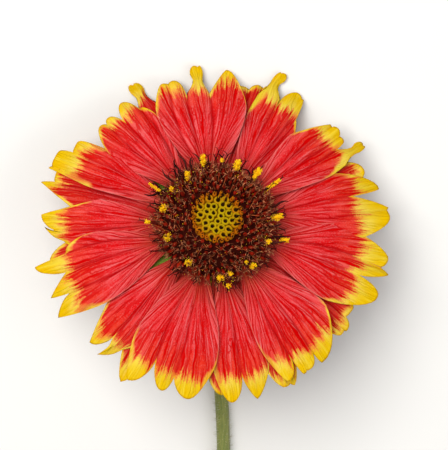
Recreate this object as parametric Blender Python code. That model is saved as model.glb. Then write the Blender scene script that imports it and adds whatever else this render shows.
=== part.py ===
"""A cut blanket flower (gaillardia) lying on a surface: a flower head on a curved stem with four leaves.

Metres, +Z up. The origin is on the flat underside of the stem, where it first lies on the surface.
The stem runs from there along -Y to its cut end. The head is on the +Y side: its stem bends up to it,
and its lowest ray florets rest on the surface, so that the face of the flower looks up.
"""

import math

import bmesh
import bpy
from mathutils import Matrix, Vector

# Driving dimensions

MM = 0.001
SEAT_GAP = 0.3 * MM  # between pieces that sit on each other
BLADE = 0.62 * MM  # thickness of a ray floret, a bract and a leaf

HEAD_CENTRE = Vector((-3 * MM, 28 * MM, 20 * MM))  # on the head's axis, level with the ray florets' roots
HEAD_TILT = math.radians(28)  # the head's axis leans this far from vertical, towards +Y

HUB_RADIUS = 8.8 * MM  # the ring that the ray florets grow from
HUB_TOP = 1.5 * MM
HUB_BOTTOM = -1.6 * MM
HUB_SIDES = 28

RAY_ROOT = 7.4 * MM  # where a ray floret starts, inside the hub
RAY_WIDEST = 27 * MM  # distance from the axis where it reaches its full width
RAY_CLAW_SHARE = 0.13  # width of its root, as a share of the full width
RAY_WIDTH_POWER = 1.35  # over 1, it stays narrow for longer
RAY_RISE = 0.10  # slope at the root, upwards
RAY_DROOP = 11.5  # how fast it bends down, per metre
RAY_LAYER = 0.9 * MM  # height of one layer of ray florets over the next
RAY_PRESSED_LAYER = 0.42 * MM  # the same where they are pressed on the surface
RAY_UNEVEN = 0.15 * MM  # height by which neighbours of one layer differ
RAY_CAMBER = 0.7 * MM  # how far the margins lie below the middle
RAY_PLEAT = 0.45 * MM  # depth of the groove that runs back from each notch
RAY_PLEAT_WIDTH = 0.8 * MM
RAY_RELIEF_REACH = 10 * MM  # from the root to where the camber and the grooves are full
RAY_ROWS = (0.0, 0.14, 0.34, 0.56, 0.74, 0.87, 1.0)  # from root to end
RAY_SIDE_STEPS = (0.0, 0.22, 1.0)  # from a notch to the next tip
CLUB_SIDE_STEPS = (0.0, 0.08, 0.3, 1.0)
NECK_UP = 0.4  # height of a lobe's neck over its foot, as a share of the lobe
NECK_END = (0.45, 0.35)  # where the lobe starts to swell over its neck, and over how much of its height
NECK_SWELL = 0.55  # how much of the neck's narrowing is gone at the lobe's top

DISC_FLOOR = HUB_TOP + SEAT_GAP  # underside of the disc
DISC_RADIUS = 10.5 * MM
DISC_HEIGHT = 6.1 * MM
DISC_SIDES = 28
DISC_FOOT_SHARE = 0.88  # radius of the disc's underside, as a share of its own
FLORET_LEAN = 0.8  # how square to the dome the florets stand, from 0 to 1
BUD_LEAN = 0.4
SUNK = 0.6 * MM  # depth of a floret's root in the disc
SPINDLE_ROOT = 0.75  # radius of a floret's root, as a share of its widest
SPINDLE_WIDEST = 0.66  # height where it is widest, as a share of its length
WELL_RADIUS = 4.95 * MM  # the hollow in the disc that holds the unopened buds
WELL_FLOOR = DISC_FLOOR + 2.6 * MM
BUD_COUNT = 36
BUD_AREA = 1.5 * MM * MM  # area of the dome for each bud
BUD_LENGTH = 1.15 * MM
BUD_RADIUS = 0.56 * MM
FLORET_COUNT = 120
FLORET_AREA = 3.35 * MM * MM
FLORET_START = 88 * MM * MM  # area of the dome inside the first dark floret
FLORET_LENGTH = 1.9 * MM
FLORET_RADIUS = 0.66 * MM
OPEN_FLORETS = 26  # the outermost ones, which are open and stand taller
OPEN_LENGTH = 2.9 * MM
GOLDEN_ANGLE = math.pi * (3 - math.sqrt(5))

CUP_TOP = HUB_BOTTOM - SEAT_GAP  # the green cup under the ray florets
CUP_BOTTOM = CUP_TOP - 3.2 * MM
CUP_PROFILE = ((3.2 * MM, CUP_BOTTOM), (6.4 * MM, CUP_BOTTOM + 1.2 * MM), (7.9 * MM, CUP_TOP))
CUP_SIDES = 20
BRACT_COUNT = 20
BRACT_LENGTH = (13.5 * MM, 11.5 * MM)  # outer row, inner row
BRACT_DROP = (2.1 * MM, 0.9 * MM)  # how far under the top of the cup each row starts
BRACT_HALF_WIDTH = 2.0 * MM
BRACT_SWELL = (0.8, 0.9)  # half width at the root, and how much it grows, as shares of the one above
BRACT_TAPER = 0.75  # under 1, the point is blunt
BRACT_POINT = 0.12 * MM  # half width that is left at the point
BRACT_SLOPE = 0.02
BRACT_DROOP = 9.0  # how fast a bract bends down, per metre
BRACT_KEEL = 0.25  # slope from its middle down to its margins
BRACT_TURN = 0.78  # azimuth of the first one, in steps from one to the next
BRACT_ROOT = 5.6 * MM
BRACT_ROWS = 6

STEM_TOP = CUP_BOTTOM - SEAT_GAP
STEM_SIDES = 10
STEM_NECK = 1.4 * MM  # stem radius under the head
STEM_FOOT = 1.75 * MM  # stem radius at the cut end
STEM_FLARE = 2.7 * MM  # radius of the swelling that carries the cup
FLARE_DROP = 1.1 * MM  # from the top of the stem to where the swelling starts to narrow
FLARE_END = 0.9  # its radius there, as a share
NECK_DROP = 3.2 * MM  # from the top of the stem to its neck
STEM_LANDING = 4 * MM  # how far before the origin the stem reaches the surface
STEM_BEND_PULL = 8.7 * MM  # handle length of the curve from the head down to the surface
STEM_LENGTH = 106 * MM  # from the origin to the cut end
STEM_SWAY = 3.0 * MM  # sideways wave of the lying stem
STEM_WAVES = 0.7  # how many whole waves it has
STEM_DRIFT = 0.4  # how far its line drifts back, as a share of the wave
STEM_BEND_STEPS = 9
STEM_LYING_STEPS = 17

LEAF_ROWS = (0.0, 0.1, 0.22, 0.34, 0.36, 0.48, 0.50, 0.62, 0.64, 0.76, 0.78, 0.9, 1.0)
LEAF_TEETH = (0.34, 0.48, 0.62, 0.76)  # where the teeth are, from base to tip
LEAF_TOOTH = 1.5 * MM
LEAF_COLUMNS = 5
LEAF_STAND_OFF = 0.45 * MM  # from the stem's gap to the middle of the leaf's base
LEAF_ROOT_HEIGHT = 2.4 * MM
LEAF_ROOT_SHARE = 0.28 / 1.1  # half width at the base, as a share of the leaf's own
LEAF_SWELL = 1.5 / 1.1  # how fast it widens
LEAF_TAPER = (3, 0.8)  # how late and how bluntly it narrows to the tip
LEAF_POINT = 0.15 * MM  # half width that is left at the tip
LEAF_DROP = 2.1 * MM  # how much lower the tip is than the base
LEAF_FOLD = 0.3  # slope from the midrib up to the margins
LEAF_WAVE = 0.5 * MM  # height of the waves of its margins
LEAF_WAVE_LENGTH = 4.5 * MM
PRESSED_BLEND = 0.4 * MM  # size of the bend where a blade meets the surface

# Tips of ray florets: how blunt the arch is, how steep its foot, how far its sides are drawn in to a
# neck, how far its point leans in millimetres, and how deep the dip in its top is

ROUND = (2.1, 0.74, 0.0, 0.0, 0.0)
POINT = (1.35, 0.72, 0.0, 0.0, 0.0)
SHARP = (1.1, 1.0, 0.0, 0.0, 0.0)
BLUNT = (3.6, 0.6, 0.0, 0.0, 0.0)
CLUB = (4.0, 0.5, 0.6, 0.0, 0.06)
HOOK = (1.2, 0.8, 0.3, -1.3, 0.0)

# Ray florets, counter-clockwise as the flower is seen from the front. Each has its azimuth in degrees, its
# layer, and the outline of its end in millimetres, as distances across and outwards: one margin, then tips
# and notches in turn, then the other margin. A tip has one form, or one for each of its two sides.

RAYS = (
    (14, 0.0, (-8.4, 26.0), (-4.6, 35.8, ROUND), (-3.2, 35.6), (-2.5, 36.2, SHARP), (0.8, 29.2),
     (1.8, 35.5, POINT, ROUND), (6.1, 25.5)),
    (26, -1.0, (-4.4, 25.5), (-1.0, 33.8, ROUND), (3.4, 26.0)),
    (40, 1.0, (-6.4, 29.5), (-5.0, 36.4, CLUB), (-2.7, 30.6), (-1.7, 33.0, BLUNT), (-0.9, 32.8),
     (0.5, 33.5, ROUND), (1.5, 32.9), (2.2, 33.0, ROUND, SHARP), (5.3, 24.5)),
    (61, 0.0, (-5.6, 23.0), (-3.5, 28.7, SHARP), (-3.3, 28.8), (-2.5, 34.2, POINT), (-2.1, 34.1),
     (-0.8, 35.0, ROUND), (1.5, 31.0), (4.5, 37.3, CLUB), (5.9, 29.5)),
    (77, -1.0, (-4.6, 25.5), (-4.0, 32.9, POINT), (-3.3, 32.3), (-2.2, 32.6, ROUND), (-0.6, 31.3),
     (1.0, 31.5, ROUND), (5.0, 26.0)),
    (97, 1.0, (-9.9, 24.0), (-6.8, 33.5, ROUND, SHARP), (-2.7, 28.2), (-1.1, 34.9, CLUB), (1.9, 28.5),
     (4.1, 32.1, ROUND), (5.2, 31.4), (6.3, 31.5, ROUND), (8.7, 24.0)),
    (116, -1.0, (-4.4, 23.0), (-2.9, 28.6, ROUND), (-2.2, 28.0), (0.4, 36.2, CLUB), (2.8, 28.0),
     (3.4, 28.2, ROUND), (4.6, 23.0)),
    (130, 1.0, (-6.5, 23.0), (-5.0, 28.6, ROUND), (-4.7, 28.8), (-2.7, 32.0, ROUND), (-0.6, 28.7),
     (1.5, 31.2, ROUND), (2.4, 30.2), (3.6, 30.8, ROUND), (6.7, 23.0)),
    (152, 0.0, (-4.5, 23.0), (-2.9, 32.4, BLUNT), (-1.1, 32.2), (0.9, 34.9, BLUNT), (3.0, 34.7),
     (3.7, 35.1, POINT), (4.2, 25.0)),
    (164, -1.0, (-5.0, 26.0), (-2.6, 33.3, BLUNT), (-1.0, 32.8), (-0.2, 35.6, POINT, SHARP), (4.6, 26.0)),
    (177, 0.0, (-4.7, 22.5), (-1.1, 34.1, SHARP, ROUND), (1.9, 31.3), (2.5, 33.3, HOOK), (5.8, 27.0)),
    (188, -1.0, (-2.4, 25.5), (1.9, 32.7, ROUND), (4.6, 26.0)),
    (199, 1.0, (-6.9, 23.5), (-4.9, 29.0, ROUND), (-4.5, 29.8), (-4.0, 35.7, ROUND), (-0.9, 30.3),
     (2.8, 34.6, SHARP, POINT), (3.2, 30.9), (6.7, 34.3, POINT), (7.8, 24.5)),
    (225, 0.0, (-4.9, 23.0), (-1.1, 32.9, SHARP, ROUND), (1.6, 29.2), (2.9, 33.4, HOOK), (6.3, 27.0)),
    (238, -1.0, (-3.4, 25.0), (0.8, 35.0, POINT), (4.5, 26.0)),
    (253, 1.0, (-8.6, 24.0), (-6.9, 33.7, ROUND), (-2.9, 28.8), (-0.2, 33.7, ROUND), (1.5, 30.5),
     (5.0, 33.7, ROUND), (8.6, 25.0)),
    (272, -1.0, (-2.6, 26.0), (0.9, 32.6, ROUND), (4.4, 24.0)),
    (281, 0.0, (-5.4, 25.5), (-2.5, 34.3, ROUND), (0.3, 29.5), (2.6, 34.3, POINT), (6.2, 27.0)),
    (297, -1.0, (-3.9, 25.0), (-0.8, 34.1, ROUND), (0.3, 33.8), (0.9, 34.5, POINT), (4.2, 26.0)),
    (307, 1.0, (-7.3, 24.0), (-6.0, 33.1, ROUND), (-3.0, 29.7), (-2.4, 33.6, BLUNT), (-1.8, 33.3),
     (-0.9, 33.6, ROUND), (1.3, 31.0), (2.0, 33.8, ROUND), (8.9, 24.5)),
    (326, -1.0, (-3.6, 26.0), (-1.7, 32.7, BLUNT), (-1.1, 32.4), (-0.5, 33.1, ROUND), (1.4, 31.4),
     (3.4, 31.7, ROUND), (5.6, 26.0)),
    (343, 0.5, (-6.9, 24.5), (-2.1, 35.3, ROUND), (0.6, 30.2), (3.1, 36.2, POINT), (3.9, 34.3),
     (5.6, 35.2, ROUND), (9.3, 24.0)),
    (357, -1.0, (-4.4, 23.0), (-1.0, 31.2, ROUND), (0.8, 29.8), (2.2, 30.8, ROUND), (4.4, 23.0)),
)

# Leaves: distance of the base behind the origin, side of the stem (+1 is +X), angle from the stem's line,
# length and half width of the blade, and how high it arches.

LEAVES = {
    "leaf_upper_right": (48 * MM, 1, math.radians(62), 34 * MM, 4.2 * MM, 4.0 * MM),
    "leaf_upper_left": (62 * MM, -1, math.radians(58), 42 * MM, 5.2 * MM, 5.0 * MM),
    "leaf_lower_right": (77 * MM, 1, math.radians(55), 50 * MM, 6.2 * MM, 6.0 * MM),
    "leaf_lower_left": (91 * MM, -1, math.radians(50), 46 * MM, 5.8 * MM, 5.0 * MM),
}


# Helpers

def material(name, colour, roughness):
    made = bpy.data.materials.new(name)
    made.use_nodes = True
    shader = made.node_tree.nodes["Principled BSDF"]
    shader.inputs["Base Color"].default_value = (*colour, 1.0)
    shader.inputs["Roughness"].default_value = roughness
    shader.inputs["Metallic"].default_value = 0.0
    return made


def add_object(name, bm, finish, parent=None):
    """Makes an object of a bmesh, with its faces pointing out."""
    bmesh.ops.recalc_face_normals(bm, faces=bm.faces)
    mesh = bpy.data.meshes.new(name)
    bm.to_mesh(mesh)
    bm.free()
    mesh.materials.append(finish)
    made = bpy.data.objects.new(name, mesh)
    bpy.context.scene.collection.objects.link(made)
    made.parent = parent
    return made


def smooth_max(value, low, blend):
    """value, but never under low, with a rounded corner of size blend."""
    if value >= low + blend:
        return value
    if value <= low - blend:
        return low
    return low + (value - low + blend) ** 2 / (4 * blend)


def soft_step(value):
    value = min(max(value, 0.0), 1.0)
    return value * value * (3 - 2 * value)


def bridge(bm, lower, upper):
    """Joins two closed rings of vertices with triangles."""
    count = len(lower)
    for k in range(count):
        n = (k + 1) % count
        bm.faces.new((lower[k], lower[n], upper[n]))
        bm.faces.new((lower[k], upper[n], upper[k]))


def cap(bm, ring, centre):
    """Closes a ring of vertices with a fan round its centre."""
    middle = bm.verts.new(centre)
    for k in range(len(ring)):
        bm.faces.new((ring[k], ring[(k + 1) % len(ring)], middle))


def turned(profile, sides):
    """A closed solid turned round Z. The profile is a list of (radius, height) from bottom to top."""
    bm = bmesh.new()
    rings = []
    for radius, height in profile:
        turns = [2 * math.pi * k / sides for k in range(sides)]
        rings.append([bm.verts.new((radius * math.cos(a), radius * math.sin(a), height)) for a in turns])
    for lower, upper in zip(rings, rings[1:]):
        bridge(bm, lower, upper)
    cap(bm, rings[0], (0, 0, profile[0][1]))
    cap(bm, rings[-1], (0, 0, profile[-1][1]))
    return bm


def blade(surface, rows, columns, thickness, to_world=None, floor=0.0):
    """A thin closed solid about a surface, split into triangles alike on both faces.

    surface(row, column, further, beside) gives a point of its middle. With to_world, the blade stays
    above the height floor, as if pressed flat where it would reach lower.
    """
    step = 0.02 * MM
    lift = to_world or Matrix.Identity(4)
    back = lift.inverted()
    faces = ([], [])
    for r in range(rows):
        for side in faces:
            side.append([])
        for c in range(columns):
            point = surface(r, c, 0.0, 0.0)
            along = surface(r, c, step, 0.0) - surface(r, c, -step, 0.0)
            across = surface(r, c, 0.0, step) - surface(r, c, 0.0, -step)
            normal = along.cross(across).normalized()
            for side, sign, low in ((faces[0], 1, floor + thickness), (faces[1], -1, floor)):
                p = lift @ (point + normal * (sign * thickness / 2))
                if to_world:
                    p.z = smooth_max(p.z, low, PRESSED_BLEND)
                side[-1].append(back @ p)
    bm = bmesh.new()
    top, bottom = ([[bm.verts.new(p) for p in row] for row in side] for side in faces)
    for r in range(rows - 1):
        for c in range(columns - 1):
            for side in (top, bottom):
                bm.faces.new((side[r][c], side[r][c + 1], side[r + 1][c + 1]))
                bm.faces.new((side[r][c], side[r + 1][c + 1], side[r + 1][c]))
    rim = [(0, c) for c in range(columns)]
    rim += [(r, columns - 1) for r in range(1, rows)]
    rim += [(rows - 1, c) for c in range(columns - 2, -1, -1)]
    rim += [(r, 0) for r in range(rows - 2, 0, -1)]
    bridge(bm, [top[r][c] for r, c in rim], [bottom[r][c] for r, c in rim])
    return bm


def spindle(bm, foot, direction, length, radius, sides, turn):
    """A pointed body that stands on foot: widest two thirds up, with its narrow root sunk below foot."""
    axis = direction.normalized()
    side = axis.orthogonal().normalized()
    other = axis.cross(side)
    rings = []
    for share, height in ((SPINDLE_ROOT, -SUNK), (1.0, length * SPINDLE_WIDEST)):
        ring = []
        for k in range(sides):
            angle = turn + 2 * math.pi * k / sides
            offset = (side * math.cos(angle) + other * math.sin(angle)) * (radius * share)
            ring.append(bm.verts.new(foot + axis * height + offset))
        rings.append(ring)
    bridge(bm, *rings)
    cap(bm, rings[0], foot - axis * SUNK)
    cap(bm, rings[1], foot + axis * length)


def fuse(base, repeats):
    """Joins repeats to base in one Boolean union, and drops sealed hollows and loose scraps."""
    group = bpy.data.collections.new(base.name + "_repeats")
    bpy.context.scene.collection.children.link(group)
    for piece in repeats:
        group.objects.link(piece)
    union = base.modifiers.new("union", "BOOLEAN")
    union.operation = "UNION"
    union.operand_type = "COLLECTION"
    union.collection = group
    union.solver = "MANIFOLD"
    bpy.context.view_layer.update()
    evaluated = base.evaluated_get(bpy.context.evaluated_depsgraph_get())
    joined = bpy.data.meshes.new_from_object(evaluated)
    base.modifiers.clear()
    base.data = joined
    for piece in repeats:
        bpy.data.objects.remove(piece)
    bpy.data.collections.remove(group)
    keep_main_body(joined)


def keep_main_body(mesh):
    """Triangulates a mesh and keeps the body that spreads furthest."""
    bm = bmesh.new()
    bm.from_mesh(mesh)
    bmesh.ops.remove_doubles(bm, verts=bm.verts, dist=0.001 * MM)
    bmesh.ops.triangulate(bm, faces=bm.faces)
    left = set(bm.verts)
    bodies = []
    while left:
        found = [left.pop()]
        for v in found:
            for edge in v.link_edges:
                other = edge.other_vert(v)
                if other in left:
                    left.remove(other)
                    found.append(other)
        spread = max(v.co.x for v in found) - min(v.co.x for v in found)
        bodies.append((spread, found))
    bodies.sort(key=lambda body: -body[0])
    for _, scrap in bodies[1:]:
        bmesh.ops.delete(bm, geom=scrap, context="VERTS")
    bm.to_mesh(mesh)
    bm.free()


# Head

def head_empty():
    head = bpy.data.objects.new("head_frame", None)
    head.location = HEAD_CENTRE
    head.rotation_euler = (-HEAD_TILT, 0, 0)
    bpy.context.scene.collection.objects.link(head)
    bpy.context.view_layer.update()
    return head


def ray_width(out):
    """Width of a ray floret at a distance from the axis, as a share of its full width."""
    grown = min(max((out - RAY_ROOT) / (RAY_WIDEST - RAY_ROOT), 0.0), 1.0)
    return RAY_CLAW_SHARE + (1 - RAY_CLAW_SHARE) * math.sin(math.pi / 2 * grown) ** RAY_WIDTH_POWER


def arch(share, form):
    """Height of half an arch, from 0 at its foot to 1 at its top."""
    bluntness, steepness, _, _, dip = form
    return (1 - (1 - share) ** bluntness) ** steepness - dip * share**6


def ray_columns(outline):
    """The lines along a ray floret: across, end, across of its tip, its lobe's foot and tip, and form."""
    columns = []
    for (x0, end0, *forms0), (x1, end1, *forms1) in zip(outline, outline[1:]):
        rising = bool(forms1)
        foot_x, foot, tip_x, tip = (x0, end0, x1, end1) if rising else (x1, end1, x0, end0)
        form = forms1[0] if rising else forms0[-1]
        shares = CLUB_SIDE_STEPS if form == CLUB else RAY_SIDE_STEPS
        for share in shares[:-1] if rising else shares[:0:-1]:
            across = foot_x + (tip_x - foot_x) * share
            end = foot + (tip - foot) * arch(share, form)
            columns.append((across * MM, end * MM, tip_x * MM, foot * MM, tip * MM, form))
    across, end = outline[-1]
    columns.append((across * MM, end * MM, across * MM, end * MM, (end + 1) * MM, ROUND))
    return columns


def lobe_shift(up, aside, form):
    """How far a lobe's point moves sideways, at a height up from its foot, aside from its tip's line."""
    _, _, pinch, lean, _ = form
    swelling = soft_step((up - NECK_END[0]) / NECK_END[1])
    neck = soft_step(up / NECK_UP) - NECK_SWELL * swelling
    return aside * pinch * neck + lean * MM * min(max(up, 0.0), 1.0) ** 3


def ray_surface(azimuth, layer, outline):
    """The middle surface of one ray floret, in the head's frame."""
    columns = ray_columns(outline)
    grooves = [mark[0] * MM for mark in outline[2:-1:2]]
    half_width = max(abs(outline[0][0]), abs(outline[-1][0])) * MM
    turn = Matrix.Rotation(math.radians(azimuth), 3, "Z")

    def surface(row, column, further, beside):
        across, end, tip_x, foot, tip, form = columns[column]
        out = RAY_ROOT + (end - RAY_ROOT) * RAY_ROWS[row] + further
        across += beside
        sideways = across * ray_width(out) + lobe_shift((out - foot) / (tip - foot), tip_x - across, form)
        relief = min(max(out - RAY_ROOT, 0.0) / RAY_RELIEF_REACH, 1.0) ** 2
        height = RAY_RISE * (out - RAY_ROOT) - RAY_DROOP * (out - RAY_ROOT) ** 2
        height += layer * RAY_LAYER + RAY_UNEVEN * math.sin(azimuth)
        height -= RAY_CAMBER * relief * (across / half_width) ** 2
        for groove in grooves:
            height -= RAY_PLEAT * relief * math.exp(-(((across - groove) / RAY_PLEAT_WIDTH) ** 2))
        return turn @ Vector((out, sideways, height))

    return surface, len(columns)


def ray_florets(head, finish):
    """The corolla: ray florets in layers, grown together with the hub."""
    hub_profile = [(HUB_RADIUS, HUB_BOTTOM), (HUB_RADIUS, HUB_TOP)]
    hub = add_object("ray_florets", turned(hub_profile, HUB_SIDES), finish, head)
    rays = []
    for azimuth, layer, *outline in RAYS:
        surface, columns = ray_surface(azimuth, layer, outline)
        floor = (layer + 1) * RAY_PRESSED_LAYER
        bm = blade(surface, len(RAY_ROWS), columns, BLADE, head.matrix_world, floor)
        rays.append(add_object(f"ray_{azimuth}", bm, finish, head))
    fuse(hub, rays)
    return hub


def dome_point(angle):
    """Distance from the axis and height of the disc's dome, at an angle from its top."""
    return DISC_RADIUS * math.sin(angle), DISC_FLOOR + DISC_HEIGHT * math.cos(angle)


def dome_angle(area):
    """The angle from the top within which the dome has that area."""
    step = math.radians(0.5)
    angle, covered = 0.0, 0.0
    while covered < area and angle < math.pi / 2:
        (r0, z0), (r1, z1) = dome_point(angle), dome_point(angle + step)
        covered += math.pi * (r0 + r1) * math.hypot(r1 - r0, z1 - z0)
        angle += step
    return angle


def stand_on_dome(angle, turn, lean):
    """A point of the dome, and the way that a floret there points: lean 0 is along the axis, 1 square out."""
    radius, height = dome_point(angle)
    outwards = Vector((math.cos(turn), math.sin(turn), 0))
    square = outwards * (math.sin(angle) / DISC_RADIUS) + Vector((0, 0, math.cos(angle) / DISC_HEIGHT))
    direction = Vector((0, 0, 1)).lerp(square.normalized(), lean)
    return outwards * radius + Vector((0, 0, height)), direction


def disc_core(name, finish, head):
    """The dark part of the disc: a dome with a hollow in its top for the buds."""
    rim_angle = math.asin(WELL_RADIUS / DISC_RADIUS)
    profile = [(WELL_RADIUS, WELL_FLOOR)]
    for k in range(5):
        profile.append(dome_point(rim_angle + (math.pi / 2 - rim_angle) * k / 4))
    bm = turned([(DISC_RADIUS * DISC_FOOT_SHARE, DISC_FLOOR)] + profile[:0:-1] + profile[:1], DISC_SIDES)
    return add_object(name, bm, finish, head)


def disc_florets(head, finish):
    """Dark florets in a spiral round the buds. The outermost ones are open and taller."""
    core = disc_core("disc_florets", finish, head)
    bm = bmesh.new()
    spikes = []
    for k in range(FLORET_COUNT):
        angle = dome_angle(FLORET_START + FLORET_AREA * k)
        turn = GOLDEN_ANGLE * (BUD_COUNT + k)
        opened = k >= FLORET_COUNT - OPEN_FLORETS
        foot, direction = stand_on_dome(angle, turn, FLORET_LEAN)
        length = OPEN_LENGTH if opened else FLORET_LENGTH
        spindle(bm, foot, direction, length, FLORET_RADIUS, 4, turn)
        if k % 2:
            spikes.append(add_object(f"florets_{k}", bm, finish, head))
            bm = bmesh.new()
    bm.free()
    fuse(core, spikes)
    return core


def disc_buds(head, finish):
    """The unopened buds in the middle, on a plug that sits in the hollow of the disc."""
    radius = WELL_RADIUS - SEAT_GAP
    rim_angle = math.asin(radius / DISC_RADIUS)
    profile = [(radius, WELL_FLOOR + SEAT_GAP)]
    profile += [dome_point(rim_angle * k / 3) for k in (3, 2, 1)]
    plug = add_object("disc_buds", turned(profile, DISC_SIDES), finish, head)
    buds = []
    for k in range(BUD_COUNT):
        bm = bmesh.new()
        foot, direction = stand_on_dome(dome_angle(BUD_AREA * (k + 0.5)), GOLDEN_ANGLE * k, BUD_LEAN)
        spindle(bm, foot, direction, BUD_LENGTH, BUD_RADIUS, 6, GOLDEN_ANGLE * k)
        buds.append(add_object(f"bud_{k}", bm, finish, head))
    fuse(plug, buds)
    return plug


def bract_surface(azimuth, inner):
    """The middle surface of one bract: a keeled point that bends back under the ray florets."""
    turn = Matrix.Rotation(azimuth, 3, "Z")
    length = BRACT_LENGTH[inner]
    start_height = CUP_TOP - BRACT_DROP[inner]

    def surface(row, column, further, beside):
        share = row / (BRACT_ROWS - 1)
        out = length * share + further
        swell = BRACT_SWELL[0] + BRACT_SWELL[1] * share
        width = BRACT_HALF_WIDTH * swell * (1 - share) ** BRACT_TAPER + BRACT_POINT
        side = (column - 1) * width + beside
        height = start_height - BRACT_SLOPE * out - BRACT_DROOP * out * out - BRACT_KEEL * abs(side)
        return turn @ Vector((BRACT_ROOT + out, side, height))

    return surface


def involucre(head, finish):
    """The green cup under the head, with two rows of bracts."""
    cup = add_object("involucre", turned(CUP_PROFILE, CUP_SIDES), finish, head)
    bracts = []
    for k in range(BRACT_COUNT):
        azimuth = 2 * math.pi * (k + BRACT_TURN) / BRACT_COUNT
        bm = blade(bract_surface(azimuth, k % 2), BRACT_ROWS, 3, BLADE)
        bracts.append(add_object(f"bract_{k}", bm, finish, head))
    fuse(cup, bracts)
    return cup


# Stem and leaves

def stem_line():
    """Centre line of the stem from the head to its cut end: (point, radius) in turn."""
    tilt = Matrix.Rotation(-HEAD_TILT, 3, "X")
    axis = tilt @ Vector((0, 0, 1))
    top = HEAD_CENTRE + axis * STEM_TOP
    neck = top - axis * NECK_DROP
    line = [(top, STEM_FLARE), (top - axis * FLARE_DROP, STEM_FLARE * FLARE_END), (neck, STEM_NECK)]
    flat = math.cos(math.pi / STEM_SIDES)  # from the centre of the section to its flat underside
    landing = Vector((stem_sway(STEM_LANDING), STEM_LANDING, STEM_NECK * flat))
    handles = (neck - axis * STEM_BEND_PULL, landing + Vector((0, STEM_BEND_PULL, 0)))
    for k in range(1, STEM_BEND_STEPS):
        t = k / STEM_BEND_STEPS
        a, b, c, d = (1 - t) ** 3, 3 * t * (1 - t) ** 2, 3 * t * t * (1 - t), t**3
        line.append((neck * a + handles[0] * b + handles[1] * c + landing * d, STEM_NECK))
    for k in range(STEM_LYING_STEPS + 1):
        share = k / STEM_LYING_STEPS
        y = STEM_LANDING - (STEM_LENGTH + STEM_LANDING) * share
        radius = STEM_NECK + (STEM_FOOT - STEM_NECK) * share
        line.append((Vector((stem_sway(y), y, radius * flat)), radius))
    return line


def stem_sway(y):
    """How far the lying stem is from the line x = 0."""
    behind = max(-y, 0.0) / STEM_LENGTH
    return STEM_SWAY * (math.sin(2 * math.pi * STEM_WAVES * behind) - STEM_DRIFT * behind)


def stem(finish):
    """A ribless tube with a flat side down, so that it rests on the surface along its length."""
    line = stem_line()
    bm = bmesh.new()
    rings = []
    for k, (centre, radius) in enumerate(line):
        before, after = line[max(k - 1, 0)][0], line[min(k + 1, len(line) - 1)][0]
        if k == 0:
            after, before = line[1][0], line[0][0]
        along = (after - before).normalized()
        side = Vector((1, 0, 0)) - along * along.x
        side.normalize()
        up = side.cross(along)
        ring = []
        for n in range(STEM_SIDES):
            angle = 2 * math.pi * (n + 0.5) / STEM_SIDES + math.pi / 2
            offset = side * (radius * math.cos(angle)) + up * (radius * math.sin(angle))
            ring.append(bm.verts.new(centre + offset))
        rings.append(ring)
    for lower, upper in zip(rings, rings[1:]):
        bridge(bm, lower, upper)
    cap(bm, rings[0], line[0][0])
    cap(bm, rings[-1], line[-1][0])
    return add_object("stem", bm, finish)


def leaf_surface(behind, side, angle, length, half_width, arch_height):
    """The middle surface of a leaf that lies beside the stem, with coarse teeth and a keel."""
    aside = stem_sway(-behind) + side * (STEM_FOOT + SEAT_GAP + LEAF_STAND_OFF)
    root = Vector((aside, -behind, LEAF_ROOT_HEIGHT))
    along = Vector((side * math.sin(angle), math.cos(angle), 0))
    across = Vector((-along.y, along.x, 0)) * side

    def surface(row, column, further, beside):
        share = LEAF_ROWS[row]
        taper = (1 - share ** LEAF_TAPER[0]) ** LEAF_TAPER[1]
        width = half_width * (LEAF_ROOT_SHARE + LEAF_SWELL * share) * taper + LEAF_POINT
        if share in LEAF_TEETH:
            width += LEAF_TOOTH
        offset = (2 * column / (LEAF_COLUMNS - 1) - 1) * width + beside
        run = share * length + further
        height = arch_height * math.sin(math.pi * min(run / length, 1.0)) - LEAF_DROP * run / length
        height += LEAF_FOLD * abs(offset)
        height += LEAF_WAVE * math.sin(run / LEAF_WAVE_LENGTH) * abs(offset) / half_width
        return root + along * run + across * offset + Vector((0, 0, height))

    return surface


def leaf(name, sizes, finish):
    bm = blade(leaf_surface(*sizes), len(LEAF_ROWS), LEAF_COLUMNS, BLADE, Matrix.Identity(4))
    return add_object(name, bm, finish)


def build():
    for old in list(bpy.data.objects):
        bpy.data.objects.remove(old)
    petal_red = material("petal_red", (0.72, 0.05, 0.05), 0.55)
    floret_maroon = material("floret_maroon", (0.10, 0.02, 0.02), 0.75)
    bud_green = material("bud_green", (0.45, 0.42, 0.04), 0.6)
    bract_green = material("bract_green", (0.16, 0.30, 0.07), 0.65)
    stem_green = material("stem_green", (0.20, 0.27, 0.08), 0.65)
    leaf_green = material("leaf_green", (0.15, 0.28, 0.08), 0.7)

    head = head_empty()
    ray_florets(head, petal_red)
    disc_florets(head, floret_maroon)
    disc_buds(head, bud_green)
    involucre(head, bract_green)
    stem(stem_green)
    for name, sizes in LEAVES.items():
        leaf(name, sizes, leaf_green)


build()
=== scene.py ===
"""A cut blanket flower, dressed: ray florets with veins and yellow tips, a disc of dark florets round
unopened buds, pollen, styles, hairy bracts, stem and leaves. Metres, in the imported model's frame."""

import math

import bmesh
import bpy
import numpy as np
from mathutils import Matrix, Vector


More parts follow.
